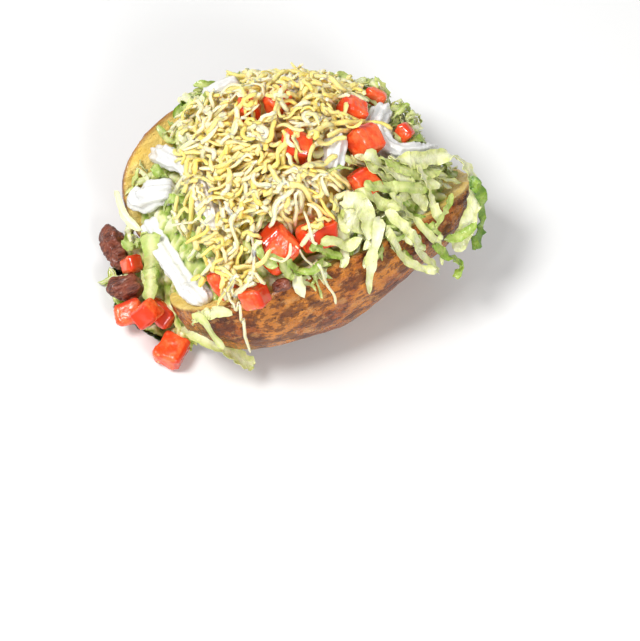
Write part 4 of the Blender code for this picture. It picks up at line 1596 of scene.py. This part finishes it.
    def fill(self, ground: HeightField, highest: HeightField, toppings: np.ndarray, room: np.ndarray,
             most: int, rng: random.Random) -> None:
        """Drop shreds at random until the heap has its form.

        Args:
            ground: What they lie on, raised by them.
            highest: Heights of the CAD model.
            toppings: Cells of the other toppings.
            room: Cells where shreds may lie.
            most: Largest number of shreds.
            rng: Source of chance.
        """
        starts = np.argwhere(room)
        laid = 0
        for attempt in range(most * self.attempts):
            if laid >= most:
                break
            i, j = starts[rng.randrange(len(starts))]
            x, y = ground.place(i, j)
            length = one_of(rng, self.lengths) * MM
            xy = random_course(rng, x, y, rng.uniform(0, 2 * math.pi), length, rng.gauss(0, 1.9),
                               rng.uniform(0.2, 0.9), self.spacing)
            yellow = rng.random() < self.yellow_share
            tone = rng.uniform(*(self.yellow_tones if yellow else self.white_tones))
            over = self.loose_share if attempt % self.loose_each == 0 else self.topping_share
            width, thick = rng.uniform(*self.widths) * MM, rng.uniform(*self.thicknesses) * MM
            laid += self.drop(ground, xy, width, thick, tone, rng, (highest, toppings), over)
        LOG.info("cheese: %d shreds", laid)

    def strings(self, ground: HeightField, rng: random.Random) -> None:
        """Lay the few thin white strings that hang over the lettuce and the skin.

        Args:
            ground: What they lie on.
            rng: Source of chance.
        """
        for places in STRINGS:
            line = smooth_curve(np.array(places) * MM, self.spacing)
            z = calm(np.maximum(ground.at(line[:, :2]), line[:, 2]), 1)
            self.add_shred(line[:, :2], z, self.string_width, self.string_thick, self.string_tone, rng)

    def finish(self, mat: bpy.types.Material) -> bpy.types.Object:
        """Make the one piece of all the cheese.

        Args:
            mat: Cheese material.

        Returns:
            The finished piece.
        """
        piece = self.store.build("cheese_shreds")
        dress(piece, mat, Slot.CHEESE, "cheese")
        return piece


# ---------------------------------------------------------------- cream, tomato and meat


@dataclass(frozen=True)
class Ribbon:
    """Ribbon of cream, in mm: width and places of its CAD node, and how far it stands out of it."""

    width: float
    places: tuple[tuple[float, float], ...]
    lift: float = 0.0


RIBBONS = (
    Ribbon(11.0, ((-17, 47.5), (-8, 47), (0, 44.5)), 2.0),
    Ribbon(8.0, ((-42, 44), (-43, 34), (-42, 24), (-41, 15), (-42, 5), (-44, -5), (-46, -14))),
    Ribbon(10.0, ((-62, 31), (-57, 26), (-52, 21), (-46, 17))),
    Ribbon(9.5, ((-58, 19), (-59, 11), (-60, 3), (-60, -6), (-60, -15), (-60, -24), (-59, -32))),
    Ribbon(9.5, ((14, -7), (9, -13), (4, -19))),
    Ribbon(9.0, ((45, 6), (38, 0), (33, -7), (33, -15), (39, -20), (47, -21), (55, -19))),
    Ribbon(7.0, ((6, 29), (12, 29), (18, 28))),
)


@dataclass
class Cream:
    """Piped ribbons of cream, ridged along and torn at their ends."""

    around: int = 44
    spacing: float = 0.6 * MM
    ridges: int = 4
    ridge_depth: float = 0.13
    flatness: float = 0.62
    tip: float = 3.2 * MM
    thinnest: float = 0.12
    wobble: float = 0.07
    wobble_pace: float = 3.1 * MM
    drift_pace: float = 11 * MM

    def tops(self, line: np.ndarray, node: bpy.types.Object, lift: float) -> np.ndarray:
        """Heights of the CAD node along a line, smoothed and raised.

        Args:
            line: Places along the ribbon.
            node: The CAD node that it replaces.
            lift: How far it is raised, in mm.

        Returns:
            A height for each place.
        """
        tree = tree_of([node])
        found = [tree.ray_cast(Vector((x, y, FAR_ABOVE)), DOWN)[0] for x, y in line]
        tops = np.array([hit.z if hit else np.nan for hit in found])
        known = ~np.isnan(tops)
        steps = np.arange(len(tops))
        tops = np.interp(steps, steps[known], tops[known])
        kernel = np.hanning(13) / np.hanning(13).sum()
        return np.convolve(np.pad(tops, 6, mode="edge"), kernel, mode="valid") + lift * MM

    def ribbon(self, name: str, shape: Ribbon, node: bpy.types.Object, mat: bpy.types.Material,
               rng: random.Random) -> bpy.types.Object:
        """Make one ribbon over its CAD node.

        Args:
            name: Name of the piece.
            shape: Its width and places.
            node: Its CAD node, which gives its heights.
            mat: Cream material.
            rng: Source of chance.

        Returns:
            The piece.
        """
        line = smooth_curve(np.array(shape.places) * MM, self.spacing)
        tops = self.tops(line, node, shape.lift)
        width = shape.width * MM
        height = self.flatness * width
        s = np.linspace(0, 1, len(line))
        run = s * len(line) * self.spacing
        size = np.clip(np.minimum(run, run[-1] - run) / self.tip, 0.0, 1.0) ** 0.5
        size = (np.maximum(self.thinnest, size)
                * (1 + self.wobble * np.sin(run / self.wobble_pace + rng.uniform(0, 6))))
        middle = np.concatenate([line, (tops - height)[:, None]], 1)
        ahead = directions(middle)
        side = np.cross(ahead, (0, 0, 1))
        side /= np.linalg.norm(side, axis=1)[:, None]
        up = np.cross(side, ahead)
        turn = 2 * math.pi * np.linspace(0, 1, self.around, endpoint=False)[None]
        drift = rng.uniform(0, 6) + 0.9 * np.sin(run / self.drift_pace + rng.uniform(0, 6))[:, None]
        upper = ease((np.sin(turn) + 0.2) / 0.5)
        ridge = 1 + self.ridge_depth * np.cos(2 * self.ridges * turn + drift) * upper
        a = np.cos(turn) * width / 2 * size[:, None] * ridge * 1.04
        b = np.where(np.sin(turn) > 0, np.sin(turn) * height, np.sin(turn) * height * 0.5)
        b = b * size[:, None] * ridge
        rings = middle[:, None] + side[:, None] * a[..., None] + up[:, None] * b[..., None]
        flat = rings.reshape(-1, 3)
        shift = 0.9 * MM * fractal(flat, (6 * MM,) * 3, 11) + 0.3 * MM * fractal(flat, (1.8 * MM,) * 3, 12)
        centre = np.repeat(middle, self.around, 0)
        outward = flat - centre
        outward /= np.maximum(1e-6, np.linalg.norm(outward, axis=1))[:, None]
        rings = (flat + outward * shift[:, None]).reshape(rings.shape)
        store = MeshStore()
        store.loft(rings)
        piece = store.build(name)
        dress(piece, mat, Slot.CREAM, node.name)
        return piece


@dataclass
class TomatoDice:
    """Diced tomato: soft uneven blocks, one side of each covered by skin. Heights are in mm."""

    voxel: float = 0.5 * MM
    rounds: int = 7
    unevenness: float = 1.1
    bulge: float = 0.9

    def die(self, name: str, node: bpy.types.Object, mat: bpy.types.Material,
            rng: random.Random) -> bpy.types.Object:
        """Make one die from its CAD node.

        Args:
            name: Name of the piece.
            node: Its CAD node.
            mat: Tomato material.
            rng: Source of chance.

        Returns:
            The piece.
        """
        mesh = remeshed(node, self.voxel, self.rounds)
        points, normals = points_of(mesh), normals_of(mesh)
        seed = rng.uniform(0, 40)
        outer = self.skin_side(node, rng)
        skin = ease((normals @ outer - 0.55) / 0.2)
        broad = fractal(points, (9 * MM,) * 3, seed, 1)
        dent = 0.35 * fractal(points, (4 * MM,) * 3, seed)
        dent += 0.15 * fractal(points, (1.5 * MM,) * 3, seed + 1)
        bulge = self.bulge * skin * np.clip(normals @ outer, 0, 1) ** 4
        height = self.unevenness * broad + dent * (1 - 0.9 * skin) + bulge
        points = points + normals * (height * MM)[:, None]
        points[:, 2] = np.maximum(points[:, 2], 0.2 * MM)
        store = MeshStore()
        store.add_mesh(mesh, skin=skin)
        store.verts[0] = points
        piece = store.build(name)
        dress(piece, mat, Slot.TOMATO, node.name)
        return piece

    def skin_side(self, node: bpy.types.Object, rng: random.Random) -> np.ndarray:
        """Direction of the skin: one of the larger faces of the die that look up or sideways.

        Args:
            node: The CAD node of the die.
            rng: Source of chance.

        Returns:
            Direction of length 1.
        """
        faces = sorted(node.data.polygons, key=lambda p: -p.area)[:10]
        seen = [p.normal for p in faces if p.normal.z > -0.3]
        return np.array(rng.choice(seen))


@dataclass
class Meat:
    """Chunks of pulled meat with coarse fibres. Heights are in mm."""

    voxel: float = 0.5 * MM
    rounds: int = 3
    fibre_height: float = 0.55
    lump_height: float = 1.5

    def chunk(self, name: str, node: bpy.types.Object, mat: bpy.types.Material) -> bpy.types.Object:
        """Make one chunk from its CAD node.

        Args:
            name: Name of the piece.
            node: Its CAD node.
            mat: Meat material.

        Returns:
            The piece.
        """
        mesh = remeshed(node, self.voxel, self.rounds)
        points, normals = points_of(mesh), normals_of(mesh)
        strands = fractal(points, (12 * MM, 1.5 * MM, 2.2 * MM), 21)
        lumps = fractal(points, (7 * MM,) * 3, 22, 2)
        height = self.fibre_height * strands + self.lump_height * lumps
        points = points + normals * (height * MM)[:, None]
        points[:, 2] = np.maximum(points[:, 2], 0.2 * MM)
        store = MeshStore()
        store.add_mesh(mesh)
        store.verts[0] = points
        piece = store.build(name)
        dress(piece, mat, Slot.MEAT, node.name)
        return piece


# ---------------------------------------------------------------- studio


@dataclass(frozen=True)
class Lamp:
    """Soft area light: where it stands, how wide it is and how strong."""

    name: str
    place: tuple[float, float, float]
    width: float
    power: float


@dataclass
class Studio:
    """Pale floor, soft light and the camera at the photograph's angle."""

    lamps: tuple[Lamp, ...] = (
        Lamp("key", (-0.62, 0.15, 1.15), 0.45, 15.5),
        Lamp("fill", (-0.10, -0.95, 0.75), 0.40, 7.0),
        Lamp("back", (0.55, 0.85, 0.70), 0.7, 2.0),
    )
    camera_place: tuple[float, float, float] = (-0.2937, -0.4466, 0.8812)
    azimuth: float = math.radians(-35.0)
    elevation: float = math.radians(60.6)
    roll: float = math.radians(5.52)
    lens: float = 134.9
    sky: float = 0.39
    floor_half: float = 1.5
    floor_gap: float = 0.0002
    floor_lines: int = 31

    def floor(self, mat: bpy.types.Material) -> None:
        """Lay the floor under the part.

        Args:
            mat: Floor material.
        """
        store = MeshStore()
        n = self.floor_lines
        steps = np.linspace(-self.floor_half, self.floor_half, n)
        grid = np.array([(x, y, -self.floor_gap) for x in steps for y in steps])
        faces = [(i * n + j, (i + 1) * n + j, (i + 1) * n + j + 1, i * n + j + 1)
                 for i in range(n - 1) for j in range(n - 1)]
        store.add(grid, faces)
        floor = store.build("floor")
        floor.data.materials.append(mat)

    def light(self) -> None:
        """Set up the lamps and the sky's even light."""
        for lamp in self.lamps:
            light = bpy.data.lights.new(lamp.name, "AREA")
            light.shape = "DISK"
            light.size = lamp.width
            light.energy = lamp.power
            obj = bpy.data.objects.new(lamp.name, light)
            obj.location = lamp.place
            obj.rotation_euler = (-Vector(lamp.place)).to_track_quat("-Z", "Y").to_euler()
            bpy.context.scene.collection.objects.link(obj)
        world = bpy.data.worlds.new("studio")
        world.use_nodes = True
        background = world.node_tree.nodes["Background"]
        background.inputs["Color"].default_value = (1.0, 1.0, 1.0, 1.0)
        background.inputs["Strength"].default_value = self.sky
        bpy.context.scene.world = world
        bpy.context.scene.view_settings.view_transform = "Standard"

    def camera(self) -> None:
        """Place the camera where the photograph was taken from."""
        cos_a, sin_a = math.cos(self.azimuth), math.sin(self.azimuth)
        level = math.cos(self.elevation)
        back = Vector((sin_a * level, -cos_a * level, math.sin(self.elevation)))
        right = Vector((cos_a, sin_a, 0.0))
        up = back.cross(right)
        x = right * math.cos(self.roll) + up * math.sin(self.roll)
        y = up * math.cos(self.roll) - right * math.sin(self.roll)
        data = bpy.data.cameras.new("camera")
        data.lens = self.lens
        data.sensor_width = 36.0
        data.clip_start = 0.01
        camera = bpy.data.objects.new("camera", data)
        turn = Matrix((x, y, back)).transposed()
        camera.matrix_world = Matrix.Translation(Vector(self.camera_place)) @ turn.to_4x4()
        bpy.context.scene.collection.objects.link(camera)
        bpy.context.scene.camera = camera


# ---------------------------------------------------------------- the whole part

SPRINKLED = ("tomato_01", "tomato_02", "tomato_05", "tomato_06", "tomato_10", "cream_2", "cream_7")


def finishes(effects: Effects) -> dict[Slot, bpy.types.Material]:
    """Build the material of each slot.

    Args:
        effects: The shared groups.

    Returns:
        Materials by slot.
    """
    oiled = {"Coat Weight": 0.26, "Coat Roughness": 0.12, "Specular IOR Level": 0.22}
    crisp = soft_body(0.25, 1.2 * MM, (0.7, 1.0, 0.3), Coat_Weight=0.15)
    made = {
        Slot.SKIN: PotatoFinish("potato", oiled),
        Slot.LETTUCE: LettuceFinish("lettuce", crisp),
        Slot.CHEESE: CheeseFinish("cheese", soft_body(0.75, 3.0 * MM, (1.0, 0.75, 0.35))),
        Slot.CREAM: CreamFinish("cream", soft_body(0.30, 1.6 * MM, (1.0, 0.95, 0.9), Coat_Weight=0.2)),
        Slot.TOMATO: TomatoFinish("tomato", soft_body(0.25, 1.5 * MM, (1.0, 0.25, 0.12), Coat_Weight=0.3)),
        Slot.MEAT: MeatFinish("meat", {"Coat Weight": 0.25, "Coat Roughness": 0.15}),
    }
    return {slot: finish.build(effects) for slot, finish in made.items()}


def cells_of(objects: Sequence[bpy.types.Object], like: HeightField) -> np.ndarray:
    """Cells of a field that some objects lie over."""
    high = tuple(a + n * like.step for a, n in zip(like.low, like.heights.shape))
    return HeightField.over(objects, like.low, high, like.step).heights > 0


def spread(mask: np.ndarray, cells: int) -> np.ndarray:
    """Mask grown by some cells on every side.

    Args:
        mask: The mask.
        cells: How many cells it grows.

    Returns:
        The new mask.
    """
    grown = mask.copy()
    for _ in range(cells):
        grown[1:] |= grown[:-1]
        grown[:-1] |= grown[1:]
        grown[:, 1:] |= grown[:, :-1]
        grown[:, :-1] |= grown[:, 1:]
    return grown


@dataclass
class Heap:
    """All that lies in and on the potato, laid in order on one field of heights."""

    low: tuple[float, float] = (-0.095, -0.080)
    high: tuple[float, float] = (0.085, 0.075)
    step: float = 0.6 * MM
    clear: int = 2
    lettuce_overlap: int = 4
    cheese_overlap: int = 6
    patch: float = 5 * MM
    patch_level: float = 0.08
    hem_start: float = 24 * MM
    hem_side: float = -40 * MM
    hem_slope: float = 0.25
    bare_core: float = 0.6 * MM
    tail_corner: tuple[float, float] = (-37 * MM, -24 * MM)
    tail_shreds: int = 60
    tail_rise: float = 3.5 * MM

    def toppings(self, nodes: dict[str, bpy.types.Object], mats: dict[Slot, bpy.types.Material],
                 rng: random.Random) -> list[bpy.types.Object]:
        """Make the dice, the chunks and the ribbons over their CAD nodes.

        Args:
            nodes: CAD nodes by name.
            mats: Materials by slot.
            rng: Source of chance.

        Returns:
            The pieces.
        """
        dice, meat, cream = TomatoDice(), Meat(), Cream()
        ordered = sorted(nodes.items())
        pieces = [dice.die(f"{name}_die", node, mats[Slot.TOMATO], rng)
                  for name, node in ordered if name.startswith("tomato")]
        pieces += [meat.chunk(f"{name}_chunk", node, mats[Slot.MEAT])
                   for name, node in ordered if name.startswith("meat")]
        pieces += [cream.ribbon(f"cream_{i}_ribbon", shape, nodes[f"cream_{i}"], mats[Slot.CREAM], rng)
                   for i, shape in enumerate(RIBBONS, 1)]
        return pieces

    def over_hem(self, x: float, y: float) -> bool:
        """Whether a place lies past the near rim at the right end, where no loose strip goes."""
        return x > self.hem_start and y < self.hem_side + self.hem_slope * (x - self.hem_start)

    def in_tail(self, x: float, y: float) -> bool:
        """Whether a place lies by the near left end, where shreds lie over lettuce and dice."""
        return x < self.tail_corner[0] and y < self.tail_corner[1]

    def build(self, nodes: dict[str, bpy.types.Object], potato: bpy.types.Object,
              mats: dict[Slot, bpy.types.Material], rng: random.Random) -> None:
        """Make the toppings, then lay the lettuce and the cheese round them.

        Args:
            nodes: CAD nodes by name.
            potato: The finished potato.
            mats: Materials by slot.
            rng: Source of chance.
        """
        toppings = self.toppings(nodes, mats, rng)
        lettuce, cheese = Lettuce(), Cheese()
        cores = [lettuce.core(nodes["lettuce"]), cheese.core(nodes["cheese"])]
        ground = HeightField.over([potato, *toppings, *cores], self.low, self.high, self.step)
        highest = HeightField.over(list(nodes.values()), self.low, self.high, self.step)
        far_ribbon = [piece for piece in toppings if piece.name.startswith("cream_1")]
        clear = spread(cells_of(far_ribbon, ground), self.clear)
        topping_cells = cells_of(toppings, ground) | clear
        patches = ground.mask(lambda x, y: noise.noise(Vector((x, y, 0.0)) / self.patch) > self.patch_level)
        outline = ground.mask(lambda x, y: inside_outline(x / MM, y / MM, CHEESE_OUTLINE))
        hem, tail = ground.mask(self.over_hem), outline & ground.mask(self.in_tail)

        lettuce_cells = cells_of([nodes["lettuce"]], ground)
        free = lettuce_cells & spread(~outline, self.lettuce_overlap) & ~topping_cells & ~hem
        away = ~spread(~outline, self.cheese_overlap) | ~spread(lettuce_cells, self.lettuce_overlap) | hem
        lettuce.cover(ground, Limits(highest, topping_cells, away), free, rng)
        lettuce.finish(mats[Slot.LETTUCE])

        sprinkled = [piece for piece in toppings if piece.name.startswith(SPRINKLED)]
        bare = [piece for piece in toppings if piece not in sprinkled]
        kept = cells_of(bare, ground) | clear | cells_of(sprinkled, ground) & patches
        core_heights = HeightField.over(cores[1:], self.low, self.high, self.step).heights
        shown = (core_heights > 0) & (core_heights > ground.heights - self.bare_core)
        cheese.fill(ground, highest, kept, outline | shown, cheese.shreds, rng)
        raised = HeightField(self.low, self.step, highest.heights + self.tail_rise)
        cheese.fill(ground, raised, np.zeros_like(outline), tail, self.tail_shreds, rng)
        cheese.strings(ground, rng)
        cheese.finish(mats[Slot.CHEESE])
        for core in cores:
            bpy.data.objects.remove(core, do_unlink=True)


def main() -> None:
    """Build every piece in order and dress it."""
    logging.basicConfig(level=logging.INFO, format="%(message)s")
    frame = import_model()
    effects = Effects()
    mats = finishes(effects)
    potato = Potato().build(mats[Slot.SKIN])
    Heap().build(frame["nodes"], potato, mats, random.Random(SEED))

    studio = Studio()
    studio.floor(FloorFinish("floor", {}).build(effects))
    studio.light()
    studio.camera()


if __name__ == "__main__":
    main()
